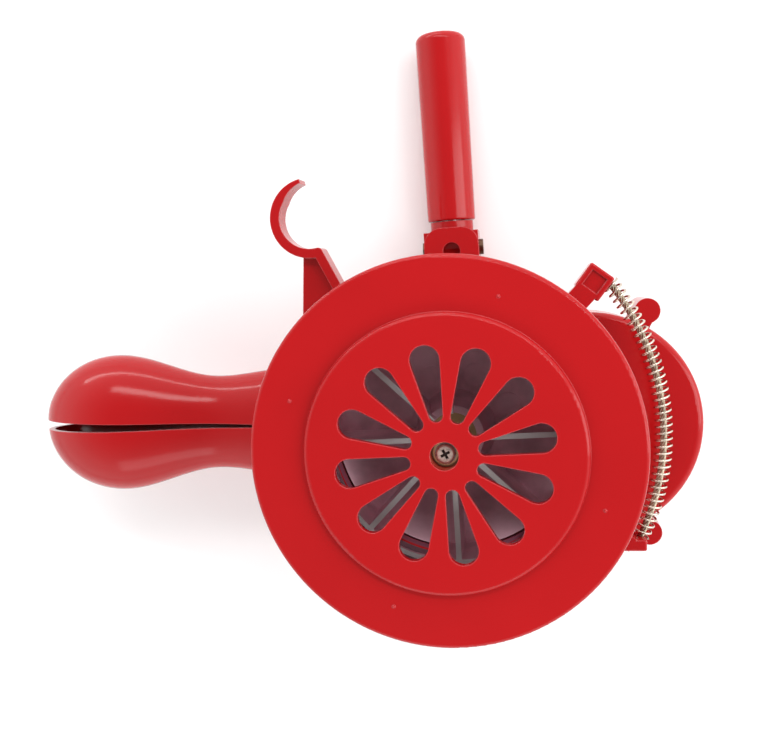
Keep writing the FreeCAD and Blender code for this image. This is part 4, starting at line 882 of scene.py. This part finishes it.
class SIREN_OT_stage(bpy.types.Operator):
    """Set the floor, the soft lights and the camera."""
    bl_idname = "siren.stage"
    bl_label = "Stage"

    def execute(self, context):
        made = context.scene.siren_stage
        self.floor(made)
        self.lights(made)
        self.camera(context, made)
        return {"FINISHED"}

    def floor(self, made):
        bm = bmesh.new()
        corners = [bm.verts.new((x * FLOOR_HALF, y * FLOOR_HALF, 0)) for x, y in
                   ((-1, -1), (1, -1), (1, 1), (-1, 1))]
        bm.faces.new(corners)
        floor = mesh_object("floor", bm)
        look = bpy.data.materials.new("floor_paper")
        look.use_nodes = True
        tree = look.node_tree
        shader = tree.nodes["Principled BSDF"]
        place = add(tree, "ShaderNodeTexCoord").outputs["Object"]
        fibres = noise(tree, place, 60.0, 5.0)
        base = made.floor_colour
        tone = mix_colour(tree, fibres, (*scaled(base, 0.985), 1), (*base, 1))
        tree.links.new(tone, shader.inputs["Base Color"])
        shader.inputs["Roughness"].default_value = 0.75
        floor.data.materials.append(look)

    def lights(self, made):
        world = bpy.data.worlds.new("studio")
        world.use_nodes = True
        background = world.node_tree.nodes["Background"]
        way = add(world.node_tree, "ShaderNodeTexCoord").outputs["Generated"]
        parts = add(world.node_tree, "ShaderNodeSeparateXYZ", {"Vector": way})
        height = ramp(world.node_tree, parts.outputs["Z"], DARKENS_FROM, DARKENS_TO)
        dome = mix_colour(world.node_tree, height, (1, 1, 1, 1), (*[made.overhead] * 3, 1))
        world.node_tree.links.new(dome, background.inputs["Color"])
        background.inputs["Strength"].default_value = made.ambient
        bpy.context.scene.world = world
        middle = from_axis(0, 0, -30)
        for name, place, size, power in (
                ("key_soft_box", (120, 640, 760), (1.2, 0.16), made.key_power),
                ("fill_soft_box", (720, 60, 420), (0.4, 0.8), made.fill_power),
                ("strip_light", (-360, 760, 170), (0.9, 0.05), made.strip_power),
                ("low_soft_box", (60, -760, 420), (0.9, 0.3), made.low_power)):
            area_light(name, from_axis(*place), middle, size, power)

    def camera(self, context, made):
        data = bpy.data.cameras.new("photo_camera")
        data.sensor_fit = "HORIZONTAL"
        data.sensor_width = 36.0
        data.lens = made.focal_pixels / made.photo_width * data.sensor_width
        data.clip_start = 0.01
        data.clip_end = 20.0
        camera = bpy.data.objects.new("photo_camera", data)
        turn = (Matrix.Rotation(made.tilt, 3, "X") @ Matrix.Rotation(made.swing, 3, "Y")
                @ Matrix.Rotation(made.roll, 3, "Z"))
        offset = Vector((made.shift_x, made.shift_y, -made.distance))
        back = turn.transposed()
        spot = from_axis(0, 0, 0) - back @ offset
        camera.matrix_world = Matrix.Translation(spot) @ back.to_4x4()
        context.scene.collection.objects.link(camera)
        context.scene.camera = camera
        context.scene.view_settings.view_transform = "Standard"


class SIREN_PT_sidebar(bpy.types.Panel):
    """Buttons and settings for the siren."""
    bl_label = "Siren"
    bl_idname = "SIREN_PT_sidebar"
    bl_space_type = "VIEW_3D"
    bl_region_type = "UI"
    bl_category = "Siren"

    def draw(self, context):
        for operator in OPERATORS:
            self.layout.operator(operator.bl_idname)
        for group in GROUPS:
            holder = getattr(context.scene, group)
            box = self.layout.box()
            for name in holder.__annotations__:
                box.prop(holder, name)


OPERATORS = (
    SIREN_OT_plastic, SIREN_OT_metal, SIREN_OT_strap_spring, SIREN_OT_strap_cable,
    SIREN_OT_screws, SIREN_OT_centre_screw, SIREN_OT_stage)
GROUPS = {
    "siren_finishes": SirenFinishes,
    "siren_strap": SirenStrap,
    "siren_screws": SirenScrews,
    "siren_stage": SirenStage,
}


def register():
    for group_class in GROUPS.values():
        bpy.utils.register_class(group_class)
    for operator in OPERATORS:
        bpy.utils.register_class(operator)
    bpy.utils.register_class(SIREN_PT_sidebar)
    for name, group_class in GROUPS.items():
        setattr(bpy.types.Scene, name, bpy.props.PointerProperty(type=group_class))


def unregister():
    for name in GROUPS:
        delattr(bpy.types.Scene, name)
    bpy.utils.unregister_class(SIREN_PT_sidebar)
    for operator in reversed(OPERATORS):
        bpy.utils.unregister_class(operator)
    for group_class in reversed(list(GROUPS.values())):
        bpy.utils.unregister_class(group_class)


def main():
    register()
    bpy.ops.siren.plastic()
    bpy.ops.siren.metal()
    bpy.ops.siren.strap_spring()
    bpy.ops.siren.strap_cable()
    bpy.ops.siren.screws()
    bpy.ops.siren.centre_screw()
    bpy.ops.siren.stage()


if __name__ == "__main__":
    main()
